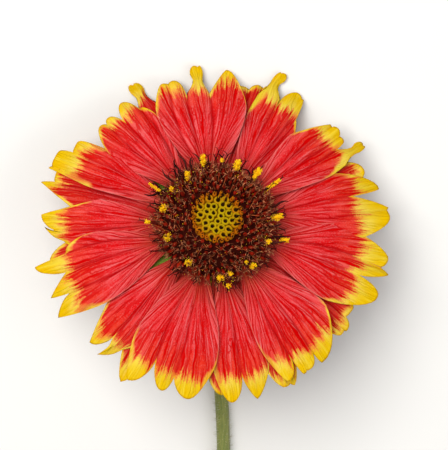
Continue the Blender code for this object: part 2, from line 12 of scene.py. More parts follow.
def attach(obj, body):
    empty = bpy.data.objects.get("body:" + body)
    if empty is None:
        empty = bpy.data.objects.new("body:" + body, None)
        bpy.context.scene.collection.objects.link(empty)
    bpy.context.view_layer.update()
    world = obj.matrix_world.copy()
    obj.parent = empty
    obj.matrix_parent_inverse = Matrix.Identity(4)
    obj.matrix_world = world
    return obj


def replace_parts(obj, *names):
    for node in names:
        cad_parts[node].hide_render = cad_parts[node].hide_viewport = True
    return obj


MM = 0.001
GOLDEN_ANGLE = math.pi * (3 - math.sqrt(5))
UP = Vector((0, 0, 1))
ORIGIN = Vector((0, 0, 0))

# The photograph: its size and the head's centre in it in pixels, its scale, and the view's tilt

PHOTO_SIZE, PHOTO_CENTRE, PIXELS_PER_MM = (448, 450), (214, 227), 5.07
VIEW_OFF, VIEW_TURN = math.radians(15), math.radians(18)

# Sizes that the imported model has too

HEAD_CENTRE = Vector((-3 * MM, 28 * MM, 20 * MM))
HEAD_TILT = math.radians(28)
RAY_ROOT, RAY_WIDEST, RAY_CLAW_SHARE = 7.4 * MM, 27 * MM, 0.13
RAY_RISE, RAY_DROOP = 0.10, 11.5
RAY_LAYER, RAY_PRESSED_LAYER, RAY_UNEVEN = 0.9 * MM, 0.42 * MM, 0.15 * MM
DISC_FLOOR, DISC_RADIUS, DISC_HEIGHT = 1.8 * MM, 10.5 * MM, 6.1 * MM
CUP_TOP, CUP_BOTTOM = -1.9 * MM, -5.1 * MM
BRACT_COUNT, BRACT_HALF_WIDTH, BRACT_ROOT = 20, 2.0 * MM, 5.6 * MM
BRACT_LENGTH = (13.5 * MM, 11.5 * MM)  # outer row, inner row
STEM_TOP = -5.4 * MM
STEM_NECK, STEM_FOOT, STEM_FLARE, STEM_SIDES = 1.4 * MM, 1.75 * MM, 2.7 * MM, 10
STEM_LANDING, STEM_BEND_PULL, STEM_LENGTH, STEM_SWAY = 4 * MM, 8.7 * MM, 106 * MM, 3.0 * MM

# Tips of ray florets: how blunt the arch is, how steep its foot, how far its sides are drawn in to a
# neck, how far its point leans in millimetres, and how deep the dip in its top is

ROUND = (2.1, 0.74, 0.0, 0.0, 0.0)
POINT = (1.35, 0.72, 0.0, 0.0, 0.0)
SHARP = (1.1, 1.0, 0.0, 0.0, 0.0)
BLUNT = (3.6, 0.6, 0.0, 0.0, 0.0)
CLUB = (4.0, 0.5, 0.6, 0.0, 0.06)
HOOK = (1.2, 0.8, 0.3, -1.3, 0.0)

# Ray florets, as in the model: azimuth in degrees, layer, then the outline of the end in millimetres, across
# and out. It goes from side to side, notch and tip in turn, and a tip has its form, or one for each side.

RAYS = (
    (14, 0.0, (-8.4, 26.0), (-4.6, 35.8, ROUND), (-3.2, 35.6), (-2.5, 36.2, SHARP), (0.8, 29.2),
     (1.8, 35.5, POINT, ROUND), (6.1, 25.5)),
    (26, -1.0, (-4.4, 25.5), (-1.0, 33.8, ROUND), (3.4, 26.0)),
    (40, 1.0, (-6.4, 29.5), (-5.0, 36.4, CLUB), (-2.7, 30.6), (-1.7, 33.0, BLUNT), (-0.9, 32.8),
     (0.5, 33.5, ROUND), (1.5, 32.9), (2.2, 33.0, ROUND, SHARP), (5.3, 24.5)),
    (61, 0.0, (-5.6, 23.0), (-3.5, 28.7, SHARP), (-3.3, 28.8), (-2.5, 34.2, POINT), (-2.1, 34.1),
     (-0.8, 35.0, ROUND), (1.5, 31.0), (4.5, 37.3, CLUB), (5.9, 29.5)),
    (77, -1.0, (-4.6, 25.5), (-4.0, 32.9, POINT), (-3.3, 32.3), (-2.2, 32.6, ROUND), (-0.6, 31.3),
     (1.0, 31.5, ROUND), (5.0, 26.0)),
    (97, 1.0, (-9.9, 24.0), (-6.8, 33.5, ROUND, SHARP), (-2.7, 28.2), (-1.1, 34.9, CLUB), (1.9, 28.5),
     (4.1, 32.1, ROUND), (5.2, 31.4), (6.3, 31.5, ROUND), (8.7, 24.0)),
    (116, -1.0, (-4.4, 23.0), (-2.9, 28.6, ROUND), (-2.2, 28.0), (0.4, 36.2, CLUB), (2.8, 28.0),
     (3.4, 28.2, ROUND), (4.6, 23.0)),
    (130, 1.0, (-6.5, 23.0), (-5.0, 28.6, ROUND), (-4.7, 28.8), (-2.7, 32.0, ROUND), (-0.6, 28.7),
     (1.5, 31.2, ROUND), (2.4, 30.2), (3.6, 30.8, ROUND), (6.7, 23.0)),
    (152, 0.0, (-4.5, 23.0), (-2.9, 32.4, BLUNT), (-1.1, 32.2), (0.9, 34.9, BLUNT), (3.0, 34.7),
     (3.7, 35.1, POINT), (4.2, 25.0)),
    (164, -1.0, (-5.0, 26.0), (-2.6, 33.3, BLUNT), (-1.0, 32.8), (-0.2, 35.6, POINT, SHARP), (4.6, 26.0)),
    (177, 0.0, (-4.7, 22.5), (-1.1, 34.1, SHARP, ROUND), (1.9, 31.3), (2.5, 33.3, HOOK), (5.8, 27.0)),
    (188, -1.0, (-2.4, 25.5), (1.9, 32.7, ROUND), (4.6, 26.0)),
    (199, 1.0, (-6.9, 23.5), (-4.9, 29.0, ROUND), (-4.5, 29.8), (-4.0, 35.7, ROUND), (-0.9, 30.3),
     (2.8, 34.6, SHARP, POINT), (3.2, 30.9), (6.7, 34.3, POINT), (7.8, 24.5)),
    (225, 0.0, (-4.9, 23.0), (-1.1, 32.9, SHARP, ROUND), (1.6, 29.2), (2.9, 33.4, HOOK), (6.3, 27.0)),
    (238, -1.0, (-3.4, 25.0), (0.8, 35.0, POINT), (4.5, 26.0)),
    (253, 1.0, (-8.6, 24.0), (-6.9, 33.7, ROUND), (-2.9, 28.8), (-0.2, 33.7, ROUND), (1.5, 30.5),
     (5.0, 33.7, ROUND), (8.6, 25.0)),
    (272, -1.0, (-2.6, 26.0), (0.9, 32.6, ROUND), (4.4, 24.0)),
    (281, 0.0, (-5.4, 25.5), (-2.5, 34.3, ROUND), (0.3, 29.5), (2.6, 34.3, POINT), (6.2, 27.0)),
    (297, -1.0, (-3.9, 25.0), (-0.8, 34.1, ROUND), (0.3, 33.8), (0.9, 34.5, POINT), (4.2, 26.0)),
    (307, 1.0, (-7.3, 24.0), (-6.0, 33.1, ROUND), (-3.0, 29.7), (-2.4, 33.6, BLUNT), (-1.8, 33.3),
     (-0.9, 33.6, ROUND), (1.3, 31.0), (2.0, 33.8, ROUND), (8.9, 24.5)),
    (326, -1.0, (-3.6, 26.0), (-1.7, 32.7, BLUNT), (-1.1, 32.4), (-0.5, 33.1, ROUND), (1.4, 31.4),
     (3.4, 31.7, ROUND), (5.6, 26.0)),
    (343, 0.5, (-6.9, 24.5), (-2.1, 35.3, ROUND), (0.6, 30.2), (3.1, 36.2, POINT), (3.9, 34.3),
     (5.6, 35.2, ROUND), (9.3, 24.0)),
    (357, -1.0, (-4.4, 23.0), (-1.0, 31.2, ROUND), (0.8, 29.8), (2.2, 30.8, ROUND), (4.4, 23.0)),
)

LEAVES = {
    "leaf_upper_right": (48 * MM, 1, math.radians(62), 34 * MM, 4.2 * MM, 4.0 * MM),
    "leaf_upper_left": (62 * MM, -1, math.radians(58), 42 * MM, 5.2 * MM, 5.0 * MM),
    "leaf_lower_right": (77 * MM, 1, math.radians(55), 50 * MM, 6.2 * MM, 6.0 * MM),
    "leaf_lower_left": (91 * MM, -1, math.radians(50), 46 * MM, 5.8 * MM, 5.0 * MM),
}
LEAF_TEETH = (0.34, 0.48, 0.62, 0.76)
LEAF_TOOTH = 1.5 * MM

# Finer detail

RAY_THICKNESS, RAY_THINNING = 0.26 * MM, 0.45  # at the root, and the share that it loses to the end
RAY_SIDE_SAMPLES, RAY_SIDE_POWER = 9, 1.7  # lines from a notch to the next tip, closer at the notch
RAY_ROWS = 64
RAY_WIDTH_POWER = 1.35
RAY_CAMBER, PLEAT_DEPTH, PLEAT_WIDTH = 0.7 * MM, 0.55 * MM, 0.75 * MM
CURL_START, CURL_REACH = 27 * MM, 8 * MM
NECK_UP, NECK_END, NECK_OVER, NECK_SWELL = 0.4, 0.45, 0.35, 0.55  # shares of a lobe's height
PRESSED_BLEND = 0.4 * MM
BUD_COUNT, BUD_AREA, BUD_DISC_RADIUS = 37, 1.66 * MM * MM, 4.62 * MM
YOUNG_RINGS = ((4.45 * MM, 22), (4.62 * MM, 24))  # radius and number of the buds at the disc's ring
FLORET_COUNT, FLORET_AREA, FLORETS_START = 250, 1.62 * MM * MM, 84 * MM * MM
TUBE_COUNT, LOOSE_GRAINS = 58, 150
STEM_HAIRS, BRACT_HAIRS, CUP_HAIRS, LEAF_HAIRS = 2600, 90, 500, 900
BRACT_ROWS, BRACT_COLUMNS, BRACT_THICKNESS = 22, 9, 0.35 * MM
LEAF_ROWS, LEAF_COLUMNS, LEAF_THICKNESS = 76, 33, 0.32 * MM
TOOTH_FALL = 0.022  # share of the leaf over which a tooth ends

# Profiles, from the foot up: shares of the radius and of the height

BUD_WALL = ((0.75, -0.4), (0.92, 0.1), (1.05, 0.5), (1.0, 0.72), (0.86, 0.92), (0.68, 1.0), (0.54, 0.92),
            (0.46, 0.72), (0.42, 0.3))
YOUNG_WALL = ((0.7, -0.4), (1.0, 0.2), (0.95, 0.6), (0.7, 0.9), (0.4, 1.0), (0.3, 0.7))
FLORET_WALL = ((0.55, -0.35), (0.8, 0.2), (1.0, 0.55), (0.95, 0.8), (0.65, 1.0), (0.4, 0.96), (0.3, 0.6))

# The head's own frame, in which the disc, the cup and the ray florets are made

HEAD = Matrix.Translation(HEAD_CENTRE) @ Matrix.Rotation(-HEAD_TILT, 4, "X")

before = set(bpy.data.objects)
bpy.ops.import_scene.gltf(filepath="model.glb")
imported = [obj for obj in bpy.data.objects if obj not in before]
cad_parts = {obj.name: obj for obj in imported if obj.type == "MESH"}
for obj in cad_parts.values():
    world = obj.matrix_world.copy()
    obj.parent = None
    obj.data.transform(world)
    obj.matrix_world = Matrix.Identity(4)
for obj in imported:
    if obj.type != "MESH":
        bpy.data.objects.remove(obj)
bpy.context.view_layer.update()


# Mesh helpers

def link_object(name, data):
    made = bpy.data.objects.new(name, data)
    bpy.context.scene.collection.objects.link(made)
    return made


def mesh_object(name, verts, faces, material, matrix=None):
    """A piece from arrays, that rides on the part's body."""
    mesh = bpy.data.meshes.new(name)
    mesh.from_pydata([tuple(v) for v in verts], [], faces)
    mesh.update()
    mesh.polygons.foreach_set("use_smooth", [True] * len(mesh.polygons))
    mesh.materials.append(material)
    piece = link_object(name, mesh)
    if matrix is not None:
        mesh.transform(matrix)
    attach(piece, "root")
    return piece


def add_attributes(piece, **attributes):
    """Numbers for each vertex, for the material to read."""
    for name, values in attributes.items():
        made = piece.data.attributes.new(name, "FLOAT", "POINT")
        made.data.foreach_set("value", np.asarray(values, dtype=np.float32).ravel())


class Heap:
    """Collects many small shapes into one mesh, with a tone on their vertices for the material."""

    def __init__(self):
        self.verts, self.faces, self.tones = [], [], []

    def add(self, shape, tone):
        verts, faces = shape
        start = len(self.verts)
        self.verts.extend(tuple(v) for v in verts)
        self.faces.extend(tuple(start + k for k in face) for face in faces)
        self.tones.extend(tone if hasattr(tone, "__len__") else [tone] * len(verts))

    def piece(self, name, material, slot, matrix=None):
        made = mesh_object(name, self.verts, self.faces, material, matrix)
        add_attributes(made, tone=self.tones)
        return made


def in_mm(*sizes):
    return [size * MM for size in sizes]


def scaled(profile, radius, height):
    return [(r * radius, h * height) for r, h in profile]


def scatter(rng, reach):
    """A random vector whose parts go up to reach."""
    return Vector(rng.uniform(-reach, reach, 3))


def level_way(turn):
    """The direction square to the axis at an azimuth."""
    return Vector((math.cos(turn), math.sin(turn), 0))


def twice(values):
    """The numbers of a grid for a sheet's upper side, then again for its lower side."""
    return np.concatenate([values.ravel(), values.ravel()])


def sheet_faces(rows, columns):
    """Faces of a closed sheet: its upper vertices come row by row, then the lower ones."""
    index = np.arange(rows * columns).reshape(rows, columns)
    lower = rows * columns
    a, b, c, d = index[:-1, :-1], index[:-1, 1:], index[1:, 1:], index[1:, :-1]
    faces = np.stack([a, d, c, b], -1).reshape(-1, 4).tolist()
    faces += (np.stack([a, b, c, d], -1) + lower).reshape(-1, 4).tolist()
    rim = [int(i) for i in (*index[0], *index[1:, -1], *index[-1, -2::-1], *index[-2:0:-1, 0])]
    return faces + [(i, j, j + lower, i + lower) for i, j in zip(rim, rim[1:] + rim[:1])]


def tube_faces(rings, sides):
    """Faces of a closed tube whose vertices come ring by ring, then one vertex for each end."""
    faces = []
    for r in range(rings - 1):
        for k in range(sides):
            n = (k + 1) % sides
            faces.append((r * sides + k, r * sides + n, (r + 1) * sides + n, (r + 1) * sides + k))
    first, last = rings * sides, rings * sides + 1
    for k in range(sides):
        n = (k + 1) % sides
        faces.append((n, k, first))
        faces.append(((rings - 1) * sides + k, (rings - 1) * sides + n, last))
    return faces


def tube(points, radii, sides):
    """Vertices and faces of a tube along points, closed at both ends."""
    points = [Vector(p) for p in points]
    verts = []
    side = None
    for k, point in enumerate(points):
        along = (points[min(k + 1, len(points) - 1)] - points[max(k - 1, 0)]).normalized()
        side = along.orthogonal() if side is None else side - along * side.dot(along)
        side.normalize()
        other = along.cross(side)
        for n in range(sides):
            a = 2 * math.pi * n / sides
            verts.append(point + (side * math.cos(a) + other * math.sin(a)) * radii[k])
    verts += [points[0], points[-1]]
    return verts, tube_faces(len(points), sides)


# Ray florets

def ray_width(out):
    """How wide a ray floret is at a distance from the axis, as a share of its full width."""
    grown = np.clip((out - RAY_ROOT) / (RAY_WIDEST - RAY_ROOT), 0, 1)
    return RAY_CLAW_SHARE + (1 - RAY_CLAW_SHARE) * np.sin(math.pi / 2 * grown) ** RAY_WIDTH_POWER


def ray_columns(outline):
    """Lines along a ray floret: across, end, its lobe's tip line, foot, pinch, lean, number and tip."""
    columns = []
    for k, ((x0, end0, *forms0), (x1, end1, *forms1)) in enumerate(zip(outline, outline[1:])):
        rising = bool(forms1)
        foot_x, foot, tip_x, tip = (x0, end0, x1, end1) if rising else (x1, end1, x0, end0)
        bluntness, steepness, pinch, lean, dip = forms1[0] if rising else forms0[-1]
        for j in range(RAY_SIDE_SAMPLES):
            share = j / RAY_SIDE_SAMPLES if rising else 1 - j / RAY_SIDE_SAMPLES
            share = share**RAY_SIDE_POWER
            across = foot_x + (tip_x - foot_x) * share
            end = foot + (tip - foot) * ((1 - (1 - share) ** bluntness) ** steepness - dip * share**6)
            columns.append((across, end, tip_x, foot, pinch, lean, k // 2, tip))
    across, end = outline[-1]
    columns.append((across, end, across, end, 0.0, 0.0, len(outline) // 2 - 1, end + 1))
    return np.array(columns)


def soft_step(value):
    value = np.clip(value, 0, 1)
    return value * value * (3 - 2 * value)


def smooth_max(value, low, blend):
    corner = low + (value - low + blend) ** 2 / (4 * blend)
    return np.where(value >= low + blend, value, np.where(value <= low - blend, low, corner))


def ray_floret(number, azimuth, layer, outline, material):
    """One petal as a thin closed sheet, with lobes, grooves, veins and curled tips."""
    rng = np.random.default_rng(100 + number)
    columns = ray_columns(outline)
    count = len(columns)
    notches = np.array([mark[0] for mark in outline[2:-1:2]]) * MM
    half = max(abs(outline[0][0]), abs(outline[-1][0])) * MM
    lobes = (len(outline) - 1) // 2
    curl = rng.uniform(-0.8, 1.6, lobes) * MM
    phase = rng.uniform(0, 2 * math.pi, 6)
    veins = 15 + int(rng.integers(0, 4))
    turn = np.array(Matrix.Rotation(math.radians(azimuth), 3, "Z"))
    lift = np.array(HEAD)

    across0, end, tip_x, foot, pinch, lean, lobe, tip = columns.T
    across0, end, tip_x, foot, lean, tip = (values * MM for values in (across0, end, tip_x, foot, lean, tip))
    lobe = lobe.astype(int)
    rows = np.linspace(0, 1, RAY_ROWS)

    def height(out, across):
        """Over the head's floor: arch, camber, pleats, curled lobes, waves, veins and frilled edges."""
        spread = np.clip((out - RAY_ROOT) / (10 * MM), 0, 1) ** 2
        z = RAY_RISE * (out - RAY_ROOT) - RAY_DROOP * (out - RAY_ROOT) ** 2
        z = z + layer * RAY_LAYER + RAY_UNEVEN * math.sin(azimuth)
        z = z - RAY_CAMBER * spread * (across / half) ** 2
        for notch in notches:
            z = z - PLEAT_DEPTH * spread * np.exp(-(((across - notch) / PLEAT_WIDTH) ** 2))
        late = np.clip((out - CURL_START) / CURL_REACH, 0, 1.2)
        z = z + late**2 * curl[lobe][None, :]
        z = z + 0.22 * MM * spread * np.sin(out / (3.6 * MM) + phase[0] + across / half * 1.5)
        z = z + 0.16 * MM * spread * np.sin(across / half * 4 + phase[1] + out / (9 * MM))
        vein = np.cos(across / half * veins * math.pi / 2 + phase[2])
        z = z + 0.055 * MM * np.clip(spread * 2, 0, 1) * np.sign(vein) * np.abs(vein) ** 0.7
        edge = np.clip((np.abs(across / half) - 0.75) / 0.25, 0, 1)
        z = z + 0.35 * MM * edge * spread * np.sin(out / (1.9 * MM) + phase[3])
        return z

    def sideways(out, across):
        """Off the middle line: narrow at the root, with the lobes' necks and leaning points."""
        up = (out - foot) / (tip - foot)
        neck = soft_step(up / NECK_UP) - NECK_SWELL * soft_step((up - NECK_END) / NECK_OVER)
        return across * ray_width(out) + (tip_x - across) * pinch * neck + lean * np.clip(up, 0, 1) ** 3

    out = RAY_ROOT + (end[None, :] - RAY_ROOT) * rows[:, None]
    across = np.broadcast_to(across0[None, :], out.shape)
    step = 0.05 * MM
    point = np.stack([out, sideways(out, across), height(out, across)], -1)
    further = np.stack([out + step, sideways(out + step, across), height(out + step, across)], -1)
    beside = np.stack([out, sideways(out, across + step), height(out, across + step)], -1)
    normal = np.cross(further - point, beside - point)
    normal /= np.linalg.norm(normal, axis=-1, keepdims=True) + 1e-12
    floor = (layer + 1) * RAY_PRESSED_LAYER
    thin = RAY_THICKNESS * (1 - RAY_THINNING * rows[:, None, None])
    surfaces = []
    for sign in (1, -1):
        p = (point + normal * sign * thin / 2) @ turn.T
        p = p @ lift[:3, :3].T + lift[:3, 3]
        low = floor + (RAY_THICKNESS if sign > 0 else 0.0)
        wave = 0.15 * MM * np.abs(np.sin(across0 / (1.1 * MM) + phase[4]))[None, :]
        p[..., 2] = smooth_max(p[..., 2], low + wave, PRESSED_BLEND)
        surfaces.append(p.reshape(-1, 3))
    verts = np.concatenate(surfaces)
    piece = mesh_object(f"ray_{azimuth:03d}", verts, sheet_faces(RAY_ROWS, count), material)
    near = np.full(out.shape, 9.0)
    if len(notches):
        near = np.min(np.abs(across[..., None] - notches), axis=-1)
    margin = np.minimum(across - across0[0], across0[-1] - across) * ray_width(out)
    add_attributes(piece, out_mm=twice(out / MM), across_mm=twice(across / MM),
                   to_tip_mm=twice((end[None, :] - out) / MM), seed=np.full(len(verts), number * 7.3),
                   shade=np.full(len(verts), layer), under=np.repeat([0.0, 1.0], len(verts) // 2),
                   notch_mm=twice(near / MM), margin_mm=twice(margin / MM))
    return piece


# Materials

class Nodes:
    """Short names for making a material's nodes."""

    def __init__(self, name):
        self.material = bpy.data.materials.new(name)
        self.material.use_nodes = True
        self.tree = self.material.node_tree
        self.shader = self.tree.nodes["Principled BSDF"]

    def put(self, value, socket):
        if isinstance(value, bpy.types.NodeSocket):
            self.tree.links.new(value, socket)
        elif hasattr(value, "__len__") and len(value) == 3 and socket.type == "RGBA":
            socket.default_value = (*value, 1.0)
        else:
            socket.default_value = value

    def set(self, name, value):
        self.put(value, self.shader.inputs[name])

    def number(self, name):
        node = self.tree.nodes.new("ShaderNodeAttribute")
        node.attribute_name = name
        return node.outputs["Fac"]

    def math(self, operation, *values, clamp=False):
        node = self.tree.nodes.new("ShaderNodeMath")
        node.operation = operation
        node.use_clamp = clamp
        for value, socket in zip(values, node.inputs):
            self.put(value, socket)
        return node.outputs[0]

    def add(self, *values):
        total = values[0]
        for value in values[1:]:
            total = self.math("ADD", total, value)
        return total

    def times(self, a, b):
        return self.math("MULTIPLY", a, b)

    def minus(self, a, b):
        return self.math("SUBTRACT", a, b)

    def highest(self, *values):
        most = values[0]
        for value in values[1:]:
            most = self.math("MAXIMUM", most, value)
        return most

    def join(self, x, y, z=0.0):
        node = self.tree.nodes.new("ShaderNodeCombineXYZ")
        for value, socket in zip((x, y, z), node.inputs):
            self.put(value, socket)
        return node.outputs[0]

    def noise(self, vector, scale=1.0, detail=2.0, rough=0.5):
        node = self.tree.nodes.new("ShaderNodeTexNoise")
        self.put(vector, node.inputs["Vector"])
        node.inputs["Scale"].default_value = scale
        node.inputs["Detail"].default_value = detail
        node.inputs["Roughness"].default_value = rough
        return node.outputs["Fac"]

    def cell_edges(self, vector, width):
        """1 on the edges of irregular cells, 0 inside them."""
        node = self.tree.nodes.new("ShaderNodeTexVoronoi")
        node.feature = "DISTANCE_TO_EDGE"
        self.put(vector, node.inputs["Vector"])
        node.inputs["Scale"].default_value = 1.0
        return self.ramp(node.outputs["Distance"], width, width * 0.2)

    def place(self):
        return self.tree.nodes.new("ShaderNodeTexCoord").outputs["Object"]

    def ramp(self, value, low, high, most=1.0):
        """Smoothly from 0 at low to most at high."""
        node = self.tree.nodes.new("ShaderNodeMapRange")
        node.interpolation_type = "SMOOTHSTEP"
        for key, item in (("Value", value), ("From Min", low), ("From Max", high)):
            self.put(item, node.inputs[key])
        result = node.outputs["Result"]
        return result if most == 1.0 else self.times(result, most)

    def mix(self, share, a, b):
        node = self.tree.nodes.new("ShaderNodeMix")
        node.data_type = "RGBA"
        self.put(share, node.inputs["Factor"])
        sockets = [s for s in node.inputs if s.type == "RGBA"]
        self.put(a, sockets[0])
        self.put(b, sockets[1])
        return [s for s in node.outputs if s.type == "RGBA"][0]

    def bump(self, height, distance, strength):
        node = self.tree.nodes.new("ShaderNodeBump")
        node.inputs["Strength"].default_value = strength
        node.inputs["Distance"].default_value = distance
        self.put(height, node.inputs["Height"])
        self.put(node.outputs["Normal"], self.shader.inputs["Normal"])


def petal_material():
    n = Nodes("petal")
    out, across, to_tip = n.number("out_mm"), n.number("across_mm"), n.number("to_tip_mm")
    seed, layer = n.number("seed"), n.number("shade")
    notch, margin = n.number("notch_mm"), n.number("margin_mm")

    # Lines across the petal are closer near its root, so that the veins fan out.
    fan = n.times(across, n.math("DIVIDE", 21.0, n.math("MAXIMUM", out, 9.0)))

    def field(crossways, lengthways, shift, detail=2.0, rough=0.5):
        """Noise stretched along the petal, from -0.5 to 0.5."""
        place = n.join(n.times(fan, crossways), n.times(out, lengthways), n.add(seed, shift))
        return n.minus(n.noise(place, 1.0, detail, rough), 0.5)

    fine = field(2.4, 0.10, 0.0, 3.0, 0.6)
    broad = field(0.8, 0.05, 40.0)
    mottle = field(0.5, 0.3, 80.0, 3.0, 0.6)
    grain = field(5.0, 4.0, 0.0, 2.0, 0.5)

    # Veins run along the petal. Each forks where it reaches late: one branch goes on, one drifts aside.
    trunk = n.add(n.times(fan, 1 / 1.55), n.times(field(0.38, 0.07, 11.0), 1.6), n.times(seed, 0.37))
    trunk = n.add(trunk, n.times(field(1.2, 0.45, 14.0), 0.28))
    late = n.add(out, n.times(mottle, 16.0))

    def veins(aside, begin, end, width):
        path = n.add(trunk, n.times(n.ramp(late, begin, end), aside))
        near = n.math("ABSOLUTE", n.minus(n.math("FRACT", path), 0.5))
        return n.ramp(near, width, width * 0.6)

    main = veins(0.0, 0.0, 1.0, 0.115)
    left = n.times(veins(0.5, 12.0, 22.0, 0.095), n.ramp(late, 12.0, 14.0))
    right = n.times(veins(-0.27, 17.0, 27.0, 0.08), n.ramp(late, 17.0, 19.0))
    aside = n.times(veins(0.76, 20.0, 30.0, 0.07), n.ramp(late, 20.0, 22.0))
    net = n.cell_edges(n.join(n.times(across, 1.1), n.times(out, 0.5), seed), 0.07)
    net = n.times(n.times(net, n.ramp(out, 17.0, 24.0)), 0.4)
    vein = n.highest(main, n.times(n.highest(left, right, aside, net), 0.8))
    vein = n.times(vein, n.ramp(field(1.0, 0.14, 60.0), -0.20, 0.02))

    red = n.mix(n.ramp(broad, -0.15, 0.15), (0.61, 0.004, 0.006), (0.66, 0.032, 0.036))
    red = n.mix(n.ramp(fine, 0.0, 0.14, 0.7), red, (0.71, 0.135, 0.140))
    red = n.mix(n.ramp(grain, -0.02, 0.16, 0.3), red, (0.74, 0.180, 0.180))
    red = n.mix(n.ramp(margin, 2.2, 0.4, 0.25), red, (0.72, 0.140, 0.140))
    red = n.mix(n.ramp(out, 22.0, 29.0, 0.5), red, (0.66, 0.060, 0.018))
    red = n.mix(vein, red, (0.54, 0.000, 0.000))
    # Painted shade: the red is darkened down the pleat grooves below each notch, where the folds shade the
    # petal.
    groove = n.times(n.ramp(notch, 0.6, 0.0), n.ramp(out, 10.0, 20.0))
    red = n.mix(n.times(groove, 0.7), red, (0.42, 0.000, 0.002))
    root = n.mix(n.ramp(fine, -0.10, 0.12), (0.17, 0.003, 0.001), (0.54, 0.070, 0.020))
    root = n.mix(n.times(vein, 0.8), root, (0.22, 0.000, 0.000))
    red = n.mix(n.times(n.ramp(n.add(out, n.times(mottle, 8.0)), 18.5, 9.5), 0.85), red, root)
    # Painted highlight: a pale pink line along the petal's edges, where the edge catches the light.
    rim_highlight = n.times(n.ramp(margin, 0.30, 0.05), n.ramp(out, 13.0, 18.0))
    red = n.mix(n.times(rim_highlight, 0.35), red, (0.80, 0.24, 0.20))

    # Yellow from the tip down to about the same distance from the axis on every petal. Veins carry the
    # red further out, and the yellow runs down the margins.
    jagged = n.add(n.times(broad, -6.0), n.times(fine, -4.5), n.times(vein, 1.2), n.times(mottle, 3.0))
    under_layer = n.ramp(layer, 0.0, -1.0)
    start = n.add(29.2, jagged, n.times(grain, 2.2), n.times(under_layer, 1.8))
    yellow = n.ramp(n.minus(out, start), -1.1, 1.3)
    close = n.ramp(n.minus(to_tip, n.add(1.1, n.times(jagged, -0.3))), 0.5, -0.5)
    yellow = n.highest(yellow, n.times(close, n.ramp(out, 24.0, 26.5)))
    edge_reach = n.add(n.ramp(out, 23.0, 31.0, 1.5), n.times(mottle, 1.6))
    edge = n.times(n.ramp(n.minus(margin, edge_reach), 0.35, -0.35), n.ramp(out, 22.5, 26.0))
    edge = n.times(edge, n.minus(1.0, n.times(under_layer, 0.8)))
    yellow = n.highest(yellow, n.times(edge, n.ramp(field(0.3, 0.05, 95.0), -0.12, 0.06)))
    gold = n.mix(n.ramp(to_tip, 5.0, 0.8), (0.68, 0.48, 0.025), (0.68, 0.42, 0.000))
    gold = n.mix(n.ramp(fine, 0.02, 0.16, 0.45), gold, (0.74, 0.58, 0.050))
    gold = n.mix(n.ramp(fine, -0.02, -0.16, 0.45), gold, (0.66, 0.31, 0.001))
    pale = n.times(n.ramp(n.minus(out, start), 3.2, 0.6), n.ramp(broad, -0.14, 0.12))
    gold = n.mix(n.times(pale, 0.5), gold, (0.78, 0.60, 0.11))
    gold = n.mix(n.ramp(to_tip, 0.5, 0.0, 0.5), gold, (0.58, 0.25, 0.001))
    # Painted shade: the red of the lower layer of petals, which lie under the others, is darkened.
    red = n.mix(n.times(under_layer, 0.3), red, (0.36, 0.005, 0.004))
    colour = n.mix(yellow, red, gold)
    off_middle = n.math("ABSOLUTE", n.minus(n.times(yellow, 2.0), 1.0))
    rim = n.times(n.minus(1.0, off_middle), 0.5)
    colour = n.mix(rim, colour, (0.74, 0.20, 0.050))
    colour = n.mix(n.times(n.number("under"), 0.5), colour, (0.42, 0.13, 0.07))
    n.set("Base Color", colour)
    n.set("Roughness", n.add(0.55, n.times(grain, 0.2)))
    n.set("Specular IOR Level", 0.02)
    relief = n.add(n.times(fine, 0.8), n.times(grain, 0.4), n.times(vein, -0.5))
    n.bump(relief, 0.25 * MM, 0.9)
    return n.material


petals = petal_material()
for number, (azimuth, layer, *outline) in enumerate(RAYS):
    piece = ray_floret(number, azimuth, layer, outline, petals)
    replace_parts(piece, "ray_florets")


def tinted(name, low, high, roughness, scale=900.0, shift=0.25, bump=0.1 * MM):
    """A plain matt material between two colours, by a number called tone and by noise."""
    n = Nodes(name)
    speckle = n.noise(n.place(), scale, 3.0, 0.6)
    tone = n.math("ADD", n.number("tone"), n.times(n.minus(speckle, 0.5), shift * 2), clamp=True)
    n.set("Base Color", n.mix(tone, low, high))
    n.set("Roughness", roughness)
    n.set("Specular IOR Level", 0.05)
    n.bump(speckle, bump, 0.7)
    return n.material


# Disc

def dome_point(angle, grow=0.0):
    """A point of the disc's dome (out, up), raised by grow."""
    out, up = math.sin(angle), math.cos(angle)
    return (DISC_RADIUS + grow) * out, DISC_FLOOR + (DISC_HEIGHT + grow) * up


def dome_angle(area):
    """How far from the dome's top a cap of that area reaches."""
    step = math.radians(0.5)
    angle, covered = 0.0, 0.0
    while covered < area and angle < math.pi / 2:
        (r0, z0), (r1, z1) = dome_point(angle), dome_point(angle + step)
        covered += math.pi * (r0 + r1) * math.hypot(r1 - r0, z1 - z0)
        angle += step
    return angle


def stand_on_dome(angle, turn, lean):
    """A point of the dome, and the way a floret there points: lean 0 is along the axis, 1 square out."""
    radius, height = dome_point(angle)
    outwards = level_way(turn)
    square = outwards * (math.sin(angle) / DISC_RADIUS) + Vector((0, 0, math.cos(angle) / DISC_HEIGHT))
    direction = UP.lerp(square.normalized(), lean).normalized()
    return outwards * radius + Vector((0, 0, height)), direction


def sides_of(axis):
    """Two directions square to an axis and to each other."""
    side = axis.orthogonal().normalized()
    return side, axis.cross(side)


def ring_shape(foot, axis, profile, sides, turn=0.0, lobes=0, flare=0.0):
    """A shape turned round an axis at foot: profile is (radius, height) pairs. Lobes cut its last rings."""
    side, other = sides_of(axis)
    verts = []
    for k, (radius, height) in enumerate(profile):
        for n in range(sides):
            a = turn + 2 * math.pi * n / sides
            wave = 0.0
            if lobes and k >= len(profile) - 2:
                wave = 0.5 + 0.5 * math.cos(lobes * a)
            r = radius * (1 + flare * wave)
            up = height * (1 - 0.35 * (1 - wave) * bool(lobes))
            verts.append(foot + (side * math.cos(a) + other * math.sin(a)) * r + axis * up)
    verts += [foot + axis * profile[0][1], foot + axis * profile[-1][1]]
    return verts, tube_faces(len(profile), sides)


